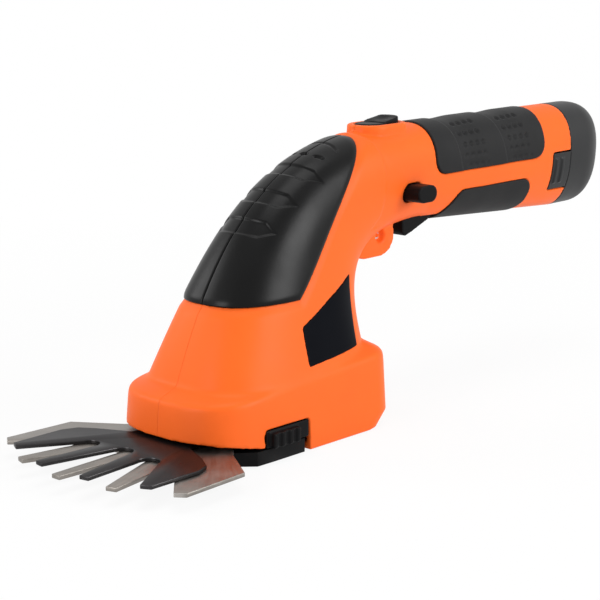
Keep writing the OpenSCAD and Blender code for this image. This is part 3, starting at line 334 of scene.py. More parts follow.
    def skirt_plan(self, inset: float, trim: float = 0.0) -> np.ndarray:
        """Outline of the skirt seen from above.

        Args:
            inset: how far it is drawn in all round, in millimetres.
            trim: how far its rear is pulled forward.

        Returns:
            Points in millimetres, from the front's right end round to the rear's right corner.
        """
        r = self.corner_r - inset
        cx = self.base_rear - self.corner_r - trim
        cy = self.base_half_w - self.corner_r
        front = np.radians(np.linspace(90, 270, self.nose_points))
        power = 2 / self.skirt_power
        nose = np.stack([(self.base_front - inset) * signed_power(np.cos(front), power),
                         (self.base_half_w - inset) * signed_power(np.sin(front), power)], 1)
        turn = np.radians(np.linspace(-90, 0, self.corner_points))
        left = np.stack([cx + r * np.cos(turn), -cy + r * np.sin(turn)], 1)
        right = np.stack([cx + r * np.cos(turn + np.pi / 2), cy + r * np.sin(turn + np.pi / 2)], 1)
        return np.concatenate([nose, left, right])

    def slope(self, x: np.ndarray, front_z: float, rear_z: float) -> np.ndarray:
        """Heights that rise evenly from the skirt's front to its rear."""
        return front_z + (rear_z - front_z) * (x + self.base_front) / (self.base_rear + self.base_front)

    def crest_height(self, x: np.ndarray) -> np.ndarray:
        """Height of the top edge of the skirt's wall."""
        return self.slope(x, self.skirt_h, self.rear_wall_h)

    def skirt_spans(self) -> list[np.ndarray]:
        """Point sets whose convex spans make up the skirt: its wall and its shoulder."""
        def level(plan: np.ndarray, z: object) -> np.ndarray:
            """Lifts a plan to one height or to a height for each point."""
            return np.column_stack([plan, np.broadcast_to(z, len(plan))])
        full, drawn_in = self.skirt_plan(0), self.skirt_plan(self.skirt_draft)
        inner = self.skirt_plan(self.shoulder_in)
        crest = level(drawn_in, self.crest_height(drawn_in[:, 0]))
        shoulder = level(inner, self.slope(inner[:, 0], self.shoulder_h, self.rear_shoulder_h))
        low = level(self.skirt_plan(0, self.bottom_round), 0.0)
        wall = np.concatenate([low, level(full, self.bottom_round), crest])
        return [wall, np.concatenate([crest, shoulder])]


class Skin:
    """A smooth surface that the outer faces of a piece are laid onto."""

    def __init__(self) -> None:
        """Starts with no surface."""
        self.points: list[Vector] = []
        self.faces: list[tuple[int, ...]] = []
        self.tree: BVHTree | None = None

    def add_loft(self, rings: Iterable[np.ndarray]) -> "Skin":
        """Adds a closed tube.

        Args:
            rings: closed rings of points along it, of equal length, in millimetres.

        Returns:
            The skin.
        """
        rings = list(rings)
        start, count = len(self.points), len(rings[0])
        for ring in rings:
            self.points.extend(Vector(p) for p in ring)
        for i in range(len(rings) - 1):
            for k in range(count):
                a, b = start + i * count + k, start + i * count + (k + 1) % count
                self.faces.append((a, b, b + count, a + count))
        self.faces.append(tuple(range(start, start + count)))
        self.faces.append(tuple(range(len(self.points) - count, len(self.points))))
        return self

    def add_spans(self, spans: Iterable[np.ndarray]) -> "Skin":
        """Adds convex forms.

        Args:
            spans: point sets in millimetres, each of which one form spans.

        Returns:
            The skin.
        """
        for span in spans:
            work = bmesh.new()
            for p in span:
                work.verts.new(p)
            bmesh.ops.convex_hull(work, input=work.verts)
            work.verts.index_update()
            start = len(self.points)
            self.points.extend(v.co.copy() for v in work.verts)
            self.faces.extend(tuple(start + v.index for v in f.verts) for f in work.faces)
            work.free()
        return self

    def nearest(self, points: np.ndarray) -> tuple[np.ndarray, np.ndarray]:
        """Finds the closest points on the skin.

        Args:
            points: places in millimetres.

        Returns:
            The closest points and the distances to them.
        """
        if self.tree is None:
            self.tree = BVHTree.FromPolygons(self.points, self.faces)
        found = np.array([self.tree.find_nearest(p)[0] for p in points])
        return found, np.linalg.norm(found - points, axis=1)


class Piece:
    """One visible piece, worked from copied CAD solids with mesh tools."""

    weld_mm: float = 0.002
    flat_angle: float = math.radians(1.0)
    edge_angle: float = math.radians(35.0)
    sharp_angle: float = math.radians(28.0)
    half_space: float = 0.8
    half_space_middle: float = 0.05

    def __init__(self, obj: bpy.types.Object) -> None:
        """Wraps an object that is already in the scene."""
        self.obj = obj

    @classmethod
    def from_nodes(cls, name: str, *nodes: str) -> "Piece":
        """Starts a piece from copies of CAD nodes, with their split corners welded.

        Args:
            name: the new object's name.
            nodes: the CAD nodes to copy.

        Returns:
            The new piece.
        """
        work = bmesh.new()
        for node in nodes:
            work.from_mesh(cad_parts[node].data)
        bmesh.ops.remove_doubles(work, verts=work.verts, dist=cls.weld_mm * MM)
        mesh = bpy.data.meshes.new(name)
        work.to_mesh(mesh)
        work.free()
        return cls.from_mesh(name, mesh)

    @classmethod
    def from_mesh(cls, name: str, mesh: bpy.types.Mesh) -> "Piece":
        """Starts a piece from a mesh."""
        obj = bpy.data.objects.new(name, mesh)
        bpy.context.scene.collection.objects.link(obj)
        return cls(obj)

    @classmethod
    def from_shell(cls, name: str, side: Side, outer: np.ndarray, inner: np.ndarray) -> "Piece":
        """Starts a piece as a closed sheet between two grids of points.

        Args:
            name: the new object's name.
            side: the side of the tool that it goes on.
            outer: rows of points on the outer face at positive Y, in millimetres.
            inner: the same rows on the inner face.

        Returns:
            The new piece.
        """
        rows, columns = outer.shape[:2]
        index = np.arange(2 * rows * columns).reshape(2, rows, columns)
        faces = []
        for sheet in index:
            corners = (sheet[:-1, :-1], sheet[:-1, 1:], sheet[1:, 1:], sheet[1:, :-1])
            faces.append(np.stack(corners, -1).reshape(-1, 4))
        for line in (index[:, 0], index[:, -1], index[:, :, 0], index[:, :, -1]):
            faces.append(np.stack([line[0, :-1], line[0, 1:], line[1, 1:], line[1, :-1]], -1))
        mesh = bpy.data.meshes.new(name)
        points = np.concatenate([outer.reshape(-1, 3), inner.reshape(-1, 3)])
        points = points * np.array([1.0, side.value, 1.0]) * MM
        mesh.from_pydata(points.tolist(), [], np.concatenate(faces).tolist())
        work = bmesh.new()
        work.from_mesh(mesh)
        bmesh.ops.recalc_face_normals(work, faces=work.faces)
        work.to_mesh(mesh)
        work.free()
        return cls.from_mesh(name, mesh)

    def copy(self, name: str) -> "Piece":
        """A second piece with the same mesh."""
        return Piece.from_mesh(name, self.obj.data.copy())

    def apply(self) -> "Piece":
        """Turns the modifiers into plain mesh and returns the piece."""
        graph = bpy.context.evaluated_depsgraph_get()
        mesh = bpy.data.meshes.new_from_object(self.obj.evaluated_get(graph))
        old = self.obj.data
        self.obj.modifiers.clear()
        self.obj.data = mesh
        bpy.data.meshes.remove(old)
        self.obj.vertex_groups.clear()
        return self

    def remesh(self, voxel: float) -> "Piece":
        """Rebuilds the piece as one even closed mesh.

        Args:
            voxel: size of its faces in millimetres.

        Returns:
            The piece.
        """
        tool = self.obj.modifiers.new("even", "REMESH")
        tool.mode = "VOXEL"
        tool.voxel_size = voxel * MM
        return self.apply()

    def relax(self, rounds: int, factor: float = 0.5, where: PointField | None = None) -> "Piece":
        """Softens edges by evening out neighbouring points.

        Args:
            rounds: how often the points are evened out.
            factor: how far they go each time, from 0 to 1.
            where: where given, only points for which it is true move.

        Returns:
            The piece.
        """
        tool = self.obj.modifiers.new("soft", "SMOOTH")
        tool.iterations = rounds
        tool.factor = factor
        if where is not None:
            tool.vertex_group = self.mark(where(self.points()))
        return self.apply()

    def mark(self, chosen: np.ndarray) -> str:
        """Puts the chosen points in a group and returns its name."""
        group = self.obj.vertex_groups.new(name="chosen")
        group.add([int(i) for i in np.nonzero(chosen)[0]], 1.0, "REPLACE")
        return group.name

    def bevel(self, width: float, segments: int) -> "Piece":
        """Breaks the sharp edges.

        Args:
            width: how wide the broken edge is, in millimetres.
            segments: how many strips of faces it has.

        Returns:
            The piece.
        """
        work = bmesh.new()
        work.from_mesh(self.obj.data)
        bmesh.ops.dissolve_limit(work, angle_limit=self.flat_angle, verts=work.verts, edges=work.edges)
        work.to_mesh(self.obj.data)
        work.free()
        tool = self.obj.modifiers.new("edge", "BEVEL")
        tool.width = width * MM
        tool.segments = segments
        tool.limit_method = "ANGLE"
        tool.angle_limit = self.edge_angle
        tool.harden_normals = False
        self.apply().smooth()
        self.obj.data.set_sharp_from_angle(angle=self.sharp_angle)
        return self

    def points(self) -> np.ndarray:
        """The piece's points in millimetres."""
        flat = np.zeros(len(self.obj.data.vertices) * 3, np.float32)
        self.obj.data.vertices.foreach_get("co", flat)
        return flat.reshape(-1, 3).astype(float) / MM

    def normals(self) -> np.ndarray:
        """The outward direction at each point."""
        flat = np.zeros(len(self.obj.data.vertices) * 3, np.float32)
        self.obj.data.vertex_normals.foreach_get("vector", flat)
        return flat.reshape(-1, 3).astype(float)

    def move_to(self, points: np.ndarray) -> "Piece":
        """Places the piece's points, given in millimetres, and returns the piece."""
        self.obj.data.vertices.foreach_set("co", (points * MM).astype(np.float32).ravel())
        self.obj.data.update()
        return self

    def lay_on(self, skin: Skin, near: float = 0.3, far: float = 0.65) -> "Piece":
        """Draws the outer faces onto a smooth skin.

        Args:
            skin: the surface to lay them on.
            near: points closer than this lie on it fully.
            far: points farther than this stay.

        Returns:
            The piece.
        """
        points = self.points()
        found, distance = skin.nearest(points)
        weight = 1.0 - smoothstep(near, far, distance)
        return self.move_to(points + weight[:, None] * (found - points))

    def sink(self, depth: PointField, skin: Skin | None = None, reach: float = 0.4) -> "Piece":
        """Presses detail into the surface.

        Args:
            depth: gives how far each point goes inward, in millimetres.
            skin: where given, only points within reach of it move.
            reach: that distance in millimetres.

        Returns:
            The piece.
        """
        points = self.points()
        amount = depth(points)
        if skin is not None:
            amount = amount * (skin.nearest(points)[1] < reach)
        return self.move_to(points - self.normals() * amount[:, None])

    def lift(self, rise: PointField) -> "Piece":
        """Raises points by the height that rise gives for each, in millimetres."""
        points = self.points()
        points[:, 2] += rise(points)
        return self.move_to(points)

    def thin_inside(self, skin: Skin, share: float, depth: float) -> "Piece":
        """Spares faces where the piece is out of sight.

        Args:
            skin: the piece's outer surface.
            share: share of the faces that stays.
            depth: how far from the skin the thinning starts, in millimetres.

        Returns:
            The piece.
        """
        tool = self.obj.modifiers.new("thin", "DECIMATE")
        tool.ratio = share
        tool.vertex_group = self.mark(skin.nearest(self.points())[1] > depth)
        return self.apply()

    def keep_half(self, side: Side, gap: float) -> "Piece":
        """Keeps one side of the middle plane.

        Args:
            side: the side to keep.
            gap: distance of the cut from the plane, in millimetres.

        Returns:
            The piece.
        """
        mesh = bpy.data.meshes.new("half_space")
        work = bmesh.new()
        bmesh.ops.create_cube(work, size=self.half_space)
        middle, away = self.half_space_middle, self.half_space / 2 + gap * MM
        bmesh.ops.translate(work, verts=work.verts, vec=(middle, side.value * away, middle))
        work.to_mesh(mesh)
        work.free()
        cutter = Piece.from_mesh("half_space", mesh)
        tool = self.obj.modifiers.new("half", "BOOLEAN")
        tool.operation = "INTERSECT"
        tool.solver = "MANIFOLD"
        tool.object = cutter.obj
        self.apply()
        bpy.data.objects.remove(cutter.obj)
        return self

    def smooth(self) -> "Piece":
        """Shades all faces softly and returns the piece."""
        self.obj.data.shade_smooth()
        return self

    def dress(self, finish: "Finish", body: str, *nodes: str) -> "Piece":
        """Gives the piece its finish, its body and the CAD nodes that it stands for.

        Args:
            finish: the finish.
            body: name of the body that it moves with.
            nodes: the CAD nodes that it replaces.

        Returns:
            The piece.
        """
        self.obj.data.materials.clear()
        self.obj.data.materials.append(finish.material())
        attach(self.obj, body)
        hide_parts(*nodes)
        LOG.info("%s: %d faces in %s", self.obj.name, len(self.obj.data.polygons), finish.name)
        return self


class Shader:
    """Shorthand for laying nodes in a node tree."""

    def __init__(self, tree: bpy.types.NodeTree) -> None:
        """Works in one tree."""
        self.tree = tree

    @classmethod
    def cleared(cls, owner: bpy.types.Material | bpy.types.World) -> "Shader":
        """Works in the emptied tree of a material or a world."""
        owner.use_nodes = True
        owner.node_tree.nodes.clear()
        return cls(owner.node_tree)

    def node(self, kind: str, settings: dict | None = None, **inputs: object) -> bpy.types.Node:
        """Adds a node.

        Args:
            kind: the node's type name.
            settings: properties to set on it.
            inputs: socket values, or sockets to link, by socket name with _ for blanks, or by number after i.

        Returns:
            The node.
        """
        made = self.tree.nodes.new(kind)
        for key, value in (settings or {}).items():
            setattr(made, key, value)
        for key, value in inputs.items():
            numbered = key[0] == "i" and key[1:].isdigit()
            socket = made.inputs[int(key[1:]) if numbered else key.replace("_", " ")]
            if isinstance(value, bpy.types.NodeSocket):
                self.tree.links.new(value, socket)
            else:
                socket.default_value = value
        return made

    def math(self, operation: str, a: object, b: object = 0.0) -> bpy.types.NodeSocket:
        """Result of a sum on two values or sockets."""
        return self.node("ShaderNodeMath", {"operation": operation}, i0=a, i1=b).outputs[0]

    def weigh(self, share: float, a: bpy.types.NodeSocket, b: bpy.types.NodeSocket) -> bpy.types.NodeSocket:
        """Sum of two values, of which the first has this share and the second the rest."""
        return self.math("ADD", self.math("MULTIPLY", a, share), self.math("MULTIPLY", b, 1.0 - share))

    def spread(self, value: bpy.types.NodeSocket, given: tuple, wanted: tuple) -> bpy.types.NodeSocket:
        """Maps a value from a given range to a wanted one, each as its low and high end."""
        return self.node("ShaderNodeMapRange", None, Value=value, From_Min=given[0], From_Max=given[1],
                         To_Min=wanted[0], To_Max=wanted[1]).outputs["Result"]

    def noise(self, place: bpy.types.NodeSocket, scale: object, detail: float,
              roughness: float = 0.5) -> bpy.types.NodeSocket:
        """Value of a noise texture at a place."""
        return self.node("ShaderNodeTexNoise", None, Vector=place, Scale=scale, Detail=detail,
                         Roughness=roughness).outputs[0]

    def mix(self, factor: object, a: object, b: object) -> bpy.types.NodeSocket:
        """Blend of two colours."""
        return self.node("ShaderNodeMix", {"data_type": "RGBA"}, i0=factor, i6=a, i7=b).outputs[2]

    def blend(self, factor: bpy.types.NodeSocket, a: bpy.types.Node, b: bpy.types.Node) -> bpy.types.Node:
        """Blend of two shaders."""
        return self.node("ShaderNodeMixShader", None, i0=factor, i1=a.outputs[0], i2=b.outputs[0])


class EffectGroups:
    """Surface effects that several finishes share, each built once as a node group."""

    grain_share: float = 0.7
    cell_scale: float = 0.6
    rub_scale: float = 140.0
    rub_patches: Pair = (0.35, 0.6)
    rub_strength: Pair = (0.25, 1.0)
    turn_scale: float = 0.05
    streak_share: float = 0.55
    stain_scale: float = 70.0

    @staticmethod
    def _start(name: str, inputs: dict[str, float], outputs: tuple[str, ...]) -> tuple[
            bpy.types.NodeTree, Shader, bpy.types.Node, bpy.types.Node]:
        """Opens a group with named float sockets.

        Args:
            name: the group's name.
            inputs: its input sockets and their values.
            outputs: its output sockets.

        Returns:
            The group's tree, a shorthand for it, its input node and its output node.
        """
        tree = bpy.data.node_groups.new(name, "ShaderNodeTree")
        for label, value in inputs.items():
            socket = tree.interface.new_socket(name=label, in_out="INPUT", socket_type="NodeSocketFloat")
            socket.default_value = value
        for label in outputs:
            tree.interface.new_socket(name=label, in_out="OUTPUT", socket_type="NodeSocketFloat")
        kit = Shader(tree)
        return tree, kit, kit.node("NodeGroupInput"), kit.node("NodeGroupOutput")

    @classmethod
    def grain(cls) -> bpy.types.NodeTree:
        """Fine moulded grain, with broad mottling for colour and gloss."""
        if "surface_grain" in bpy.data.node_groups:
            return bpy.data.node_groups["surface_grain"]
        tree, kit, given, out = cls._start(
            "surface_grain", {"Grain Size": 0.0004, "Patch Size": 0.02}, ("Height", "Mottle"))
        place = kit.node("ShaderNodeTexCoord").outputs["Object"]
        fine = kit.math("DIVIDE", 1.0, given.outputs["Grain Size"])
        broad = kit.math("DIVIDE", 1.0, given.outputs["Patch Size"])
        noise = kit.noise(place, fine, detail=2.0, roughness=0.6)
        cell_scale = kit.math("MULTIPLY", fine, cls.cell_scale)
        cells = kit.node("ShaderNodeTexVoronoi", None, Vector=place, Scale=cell_scale)
        height = kit.weigh(cls.grain_share, noise, cells.outputs["Distance"])
        tree.links.new(height, out.inputs["Height"])
        tree.links.new(kit.noise(place, broad, detail=4.0, roughness=0.55), out.inputs["Mottle"])
        return tree

    @classmethod
    def wear(cls) -> bpy.types.NodeTree:
        """Mask of edges that handling has rubbed, broken up by patches."""
        if "rubbed_edges" in bpy.data.node_groups:
            return bpy.data.node_groups["rubbed_edges"]
        tree, kit, given, out = cls._start("rubbed_edges", {"Start": 0.53, "Full": 0.62}, ("Mask",))
        point = kit.node("ShaderNodeNewGeometry").outputs["Pointiness"]
        edge = kit.spread(point, (given.outputs["Start"], given.outputs["Full"]), (0.0, 1.0))
        place = kit.node("ShaderNodeTexCoord").outputs["Object"]
        broken = kit.spread(kit.noise(place, cls.rub_scale, detail=3.0), cls.rub_patches, cls.rub_strength)
        tree.links.new(kit.math("MULTIPLY", edge, broken), out.inputs["Mask"])
        return tree

    @classmethod
    def streaks(cls) -> bpy.types.NodeTree:
        """Grinding streaks that run outward from the upright axis through the origin."""
        if "grinding_streaks" in bpy.data.node_groups:
            return bpy.data.node_groups["grinding_streaks"]
        tree, kit, given, out = cls._start(
            "grinding_streaks", {"Fineness": 900.0, "Length": 60.0}, ("Height", "Mottle"))
        place = kit.node("ShaderNodeTexCoord").outputs["Object"]
        x, y, z = kit.node("ShaderNodeSeparateXYZ", None, Vector=place).outputs
        radius = kit.math("SQRT", kit.math("ADD", kit.math("MULTIPLY", x, x), kit.math("MULTIPLY", y, y)))
        turn = kit.math("MULTIPLY", kit.math("ARCTAN2", y, x), cls.turn_scale)
        along = kit.node("ShaderNodeCombineXYZ", None,
                         X=kit.math("MULTIPLY", turn, given.outputs["Fineness"]),
                         Y=kit.math("MULTIPLY", radius, given.outputs["Length"]),
                         Z=kit.math("MULTIPLY", z, given.outputs["Fineness"])).outputs[0]
        fine = kit.noise(along, 1.0, detail=5.0, roughness=0.65)
        broad = kit.noise(place, cls.stain_scale, detail=4.0)
        tree.links.new(fine, out.inputs["Height"])
        tree.links.new(kit.weigh(cls.streak_share, fine, broad), out.inputs["Mottle"])
        return tree


@dataclass(frozen=True)
class Finish:
    """A material of the tool: its colour, gloss and fine texture."""

    name: str
    slot: str
    colour: Colour
    roughness: float
    metallic: float = 0.0
    texture: Texture = Texture.GRAINED
    grain_mm: float = 0.4
    grain_depth_mm: float = 0.012
    tint: float = 0.05
    mottle: float = 0.05
    wear: float = 0.25
    worn: Colour = (0.5, 0.5, 0.5)
    specular: float = 0.5
    glance: float = 1.0
    sheen: float = 0.0
    mottle_range: Pair = (0.3, 0.7)

    def material(self) -> bpy.types.Material:
        """The finish as a node material, built on first use."""
        if self.name in bpy.data.materials:
            return bpy.data.materials[self.name]
        made = bpy.data.materials.new(self.name)
        kit = Shader.cleared(made)
        height, mottle = self._surface(kit)
        darker = tuple(c * (1.0 - self.tint) for c in self.colour)
        lighter = tuple(min(1.0, c * (1.0 + self.tint)) for c in self.colour)
        base = kit.mix(kit.spread(mottle, self.mottle_range, (0.0, 1.0)), (*darker, 1.0), (*lighter, 1.0))
        wear = kit.node("ShaderNodeGroup", {"node_tree": EffectGroups.wear()})
        base = kit.mix(kit.math("MULTIPLY", wear.outputs["Mask"], self.wear), base, (*self.worn, 1.0))
        gloss = (self.roughness - self.mottle, self.roughness + self.mottle)
        rough = kit.spread(mottle, self.mottle_range, gloss)
        bump = kit.node("ShaderNodeBump", None, Strength=1.0, Distance=self.grain_depth_mm * MM,
                        Height=height)
        shader = kit.node("ShaderNodeBsdfPrincipled", None, Base_Color=base, Roughness=rough,
                          Metallic=self.metallic, Normal=bump.outputs[0], Specular_IOR_Level=self.specular,
                          Specular_Tint=(self.glance, self.glance, self.glance, 1.0), Sheen_Weight=self.sheen)
        kit.node("ShaderNodeOutputMaterial", None, Surface=shader.outputs[0])
        return made

    def _surface(self, kit: Shader) -> tuple[bpy.types.NodeSocket, bpy.types.NodeSocket]:
        """Lays the finish's texture.

        Args:
            kit: the material's tree.

        Returns:
            The texture's height and its mottle.
        """
        if self.texture is Texture.BRUSHED:
            effect = kit.node("ShaderNodeGroup", {"node_tree": EffectGroups.streaks()})
        else:
            effect = kit.node("ShaderNodeGroup", {"node_tree": EffectGroups.grain()})
            effect.inputs["Grain Size"].default_value = self.grain_mm * MM
        return effect.outputs["Height"], effect.outputs["Mottle"]


FINISHES: dict[str, Finish] = {f.slot: f for f in (
    Finish("orange_moulded", "orange_shell", (0.9, 0.137, 0.017), 0.45, tint=0.03, wear=0.1,
           worn=(1.0, 0.25, 0.06), specular=0.14),
    Finish("black_gloss_moulded", "black_cover", (0.0014, 0.0014, 0.0015), 0.33, grain_mm=0.5,
           grain_depth_mm=0.02, mottle=0.06, wear=0.0, specular=0.15),
    Finish("smooth_plate", "side_plate", (0.002, 0.0025, 0.0045), 0.34, grain_depth_mm=0.004, mottle=0.04,
           wear=0.1, worn=(0.05, 0.05, 0.055), specular=0.03),
    Finish("soft_touch_rubber", "soft_grip", (0.007, 0.007, 0.0074), 0.6, grain_mm=0.55, grain_depth_mm=0.03,
           wear=0.2, worn=(0.05, 0.05, 0.052), specular=0.18, sheen=0.02),
    Finish("black_moulded", "black_plastic", (0.004, 0.004, 0.0043), 0.42, grain_mm=0.45, wear=0.2,
           worn=(0.05, 0.05, 0.05), specular=0.07),
    Finish("battery_moulded", "battery_plastic", (0.007, 0.0074, 0.008), 0.46, grain_mm=0.5,
           grain_depth_mm=0.022, wear=0.2, worn=(0.06, 0.06, 0.063), specular=0.3),
    Finish("cast_zinc", "cast_frame", (0.5, 0.51, 0.53), 0.5, 1.0, grain_mm=0.9, grain_depth_mm=0.04),
    Finish("ferrite", "magnet", (0.05, 0.05, 0.05), 0.7, grain_mm=0.7, grain_depth_mm=0.03),
    Finish("wound_core", "winding", (0.55, 0.2, 0.07), 0.35, 0.8, grain_mm=0.6, grain_depth_mm=0.05),
    Finish("ground_steel", "steel", (0.5, 0.49, 0.46), 0.36, 1.0, Texture.BRUSHED, grain_depth_mm=0.012,
           tint=0.16, mottle=0.1, wear=0.35, worn=(0.75, 0.74, 0.72)),
    Finish("dark_coated_steel", "coated_steel", (0.04, 0.038, 0.039), 0.32, 0.9, Texture.BRUSHED,
           grain_depth_mm=0.003, tint=0.1, mottle=0.05, wear=0.2, worn=(0.12, 0.12, 0.12), specular=0.16,
           glance=0.7),
    Finish("turned_brass", "brass", (0.68, 0.46, 0.16), 0.3, 1.0),
    Finish("nylon", "gear_plastic", (0.72, 0.72, 0.68), 0.5),
    Finish("circuit_board", "board", (0.02, 0.13, 0.06), 0.4),
    Finish("wire_cover", "lead", (0.35, 0.03, 0.02), 0.5),
    Finish("cell_sleeve", "cell_wrap", (0.04, 0.12, 0.36), 0.35),
)}
GROUND_BLADE = Finish("ground_blade", "steel", (0.23, 0.21, 0.19), 0.42, 1.0, Texture.BRUSHED,
                      grain_depth_mm=0.014, tint=0.2, mottle=0.1, wear=0.35, worn=(0.5, 0.48, 0.46))


@dataclass
class Housing:
    """The two orange halves: skirt, tower, neck and handle."""

    form: BodyForm
    voxel: float = 0.6
    seam_gap: float = 0.07
    inside_share: float = 0.45
    inside_depth: float = 1.2
    lip_width: float = 4.0
    lip_depth: float = 0.7
    lip_overlap: float = 0.8
    crease: Outline = ((74.0, 106.0), (75.5, 101.0), (76.6, 95.0), (77.0, 89.0), (76.8, 82.0), (75.6, 75.5),
                       (72.0, 71.5), (66.0, 68.0))
    crease_depth: float = 0.3
    crease_step: Pair = (-0.5, 0.3)
    crease_fade: Pair = (1.0, 14.0)
    crease_low_z: float = 70.5
    crease_half_gap: float = 2.0
    crease_reach: float = 0.6
    low_edge: Pair = (12.0, 10.4)
    low_steps: tuple[float, ...] = (-19.4, -11.8, -4.0)
    low_heights: tuple[float, ...] = (9.0, 7.05, 5.4)
    low_lead: float = 4.0
    low_soft: float = 0.8
    low_fade: float = 12.0
    crest_reach: float = 4.0
    nub_screw: Pair = (84.5, 65.3)
    nub_flank: Pair = (-8.0, -4.0)
    recess_r: float = 1.9
    recess_depth: float = 0.9
    recess_soft: float = 0.4

    def skin(self) -> Skin:
        """The smooth outer surface of the whole body."""
        rings = [self.form.ring(s) for s in self.form.stations()]
        return Skin().add_loft(rings).add_spans(self.form.skirt_spans())

    def neck_crease(self, points: np.ndarray) -> np.ndarray:
        """Step of the fine styling line round the neck.

        Args:
            points: places in millimetres.

        Returns:
            A depth for each place.
        """
        line = np.array(self.crease)[::-1]
        beyond = points[:, 0] - np.interp(points[:, 2], line[:, 1], line[:, 0])
        step = smoothstep(*self.crease_step, beyond) * (1 - smoothstep(*self.crease_fade, beyond))
        flank = (points[:, 2] > self.crease_low_z) & (np.abs(points[:, 1]) > self.crease_half_gap)
        return self.crease_depth * step * flank

    def near_low_edge(self, points: np.ndarray) -> np.ndarray:
        """Mask of the points along the skirt's lower edge, over the blades."""
        rear, top = self.low_edge
        return (points[:, 0] < rear) & (points[:, 2] < top)

    def edge_rise(self, points: np.ndarray) -> np.ndarray:
        """Turns the stepped lower edge of the skirt into an even line.

        Args:
            points: places in millimetres.

        Returns:
            How far each point rises.
        """
        x, z = points[:, 0], points[:, 2]
        (first, second, end), (high, middle, low) = self.low_steps, self.low_heights
        actual = high - (high - middle) * smoothstep(first - self.low_soft, first + self.low_soft, x)
        actual -= (middle - low) * smoothstep(second - self.low_soft, second + self.low_soft, x)
        wanted = np.interp(x, (first - self.low_lead, second, end), (high, middle, low))
        fade = np.clip((self.low_fade - z) / (self.low_fade - actual), 0, 1)
        return np.where(x < end, (wanted - actual) * fade, 0.0)

    def near_crest(self, points: np.ndarray) -> np.ndarray:
        """Mask of the points along the skirt's upper edge."""
        return np.abs(points[:, 2] - self.form.crest_height(points[:, 0])) < self.crest_reach

    def screw_recess(self, points: np.ndarray) -> np.ndarray:
        """Round recess on the nub's left face.

        Args:
            points: places in millimetres.

        Returns:
            A depth for each place.
        """
        away = np.hypot(points[:, 0] - self.nub_screw[0], points[:, 2] - self.nub_screw[1])
        flank = (points[:, 1] > self.nub_flank[0]) & (points[:, 1] < self.nub_flank[1])
        inside = smoothstep(self.recess_r + self.recess_soft, self.recess_r - self.recess_soft, away)
        return self.recess_depth * inside * flank

    def build(self, cover: "FrontCover") -> None:
        """Makes both halves.

        Args:
            cover: the front cover, whose rim the housing has a lip along.
        """
        def lip(points: np.ndarray) -> np.ndarray:
            """Depth of the slope that runs down to the cover."""
            beyond = cover.beyond_edge(points)
            slope = 1 - smoothstep(0.0, self.lip_width, beyond)
            return self.lip_depth * slope * (beyond > -self.lip_overlap)

        skin = self.skin()
        whole = Piece.from_nodes("housing_form", "left_housing", "right_housing").remesh(self.voxel)
        whole.relax(rounds=5).relax(rounds=16, where=self.near_low_edge).lay_on(skin).lift(self.edge_rise)
        whole.relax(rounds=50, where=self.near_crest).relax(rounds=8, where=self.near_low_edge)
        whole.sink(lip, skin).sink(self.neck_crease, skin, self.crease_reach).sink(self.screw_recess)
        whole.relax(rounds=1, factor=0.4).thin_inside(skin, self.inside_share, self.inside_depth)
        for side in Side:
            part = whole.copy(f"{side.word}_housing_skin").keep_half(side, self.seam_gap).smooth()
            part.dress(FINISHES["orange_shell"], Body.HOUSING, f"{side.word}_housing")
        bpy.data.objects.remove(whole.obj)


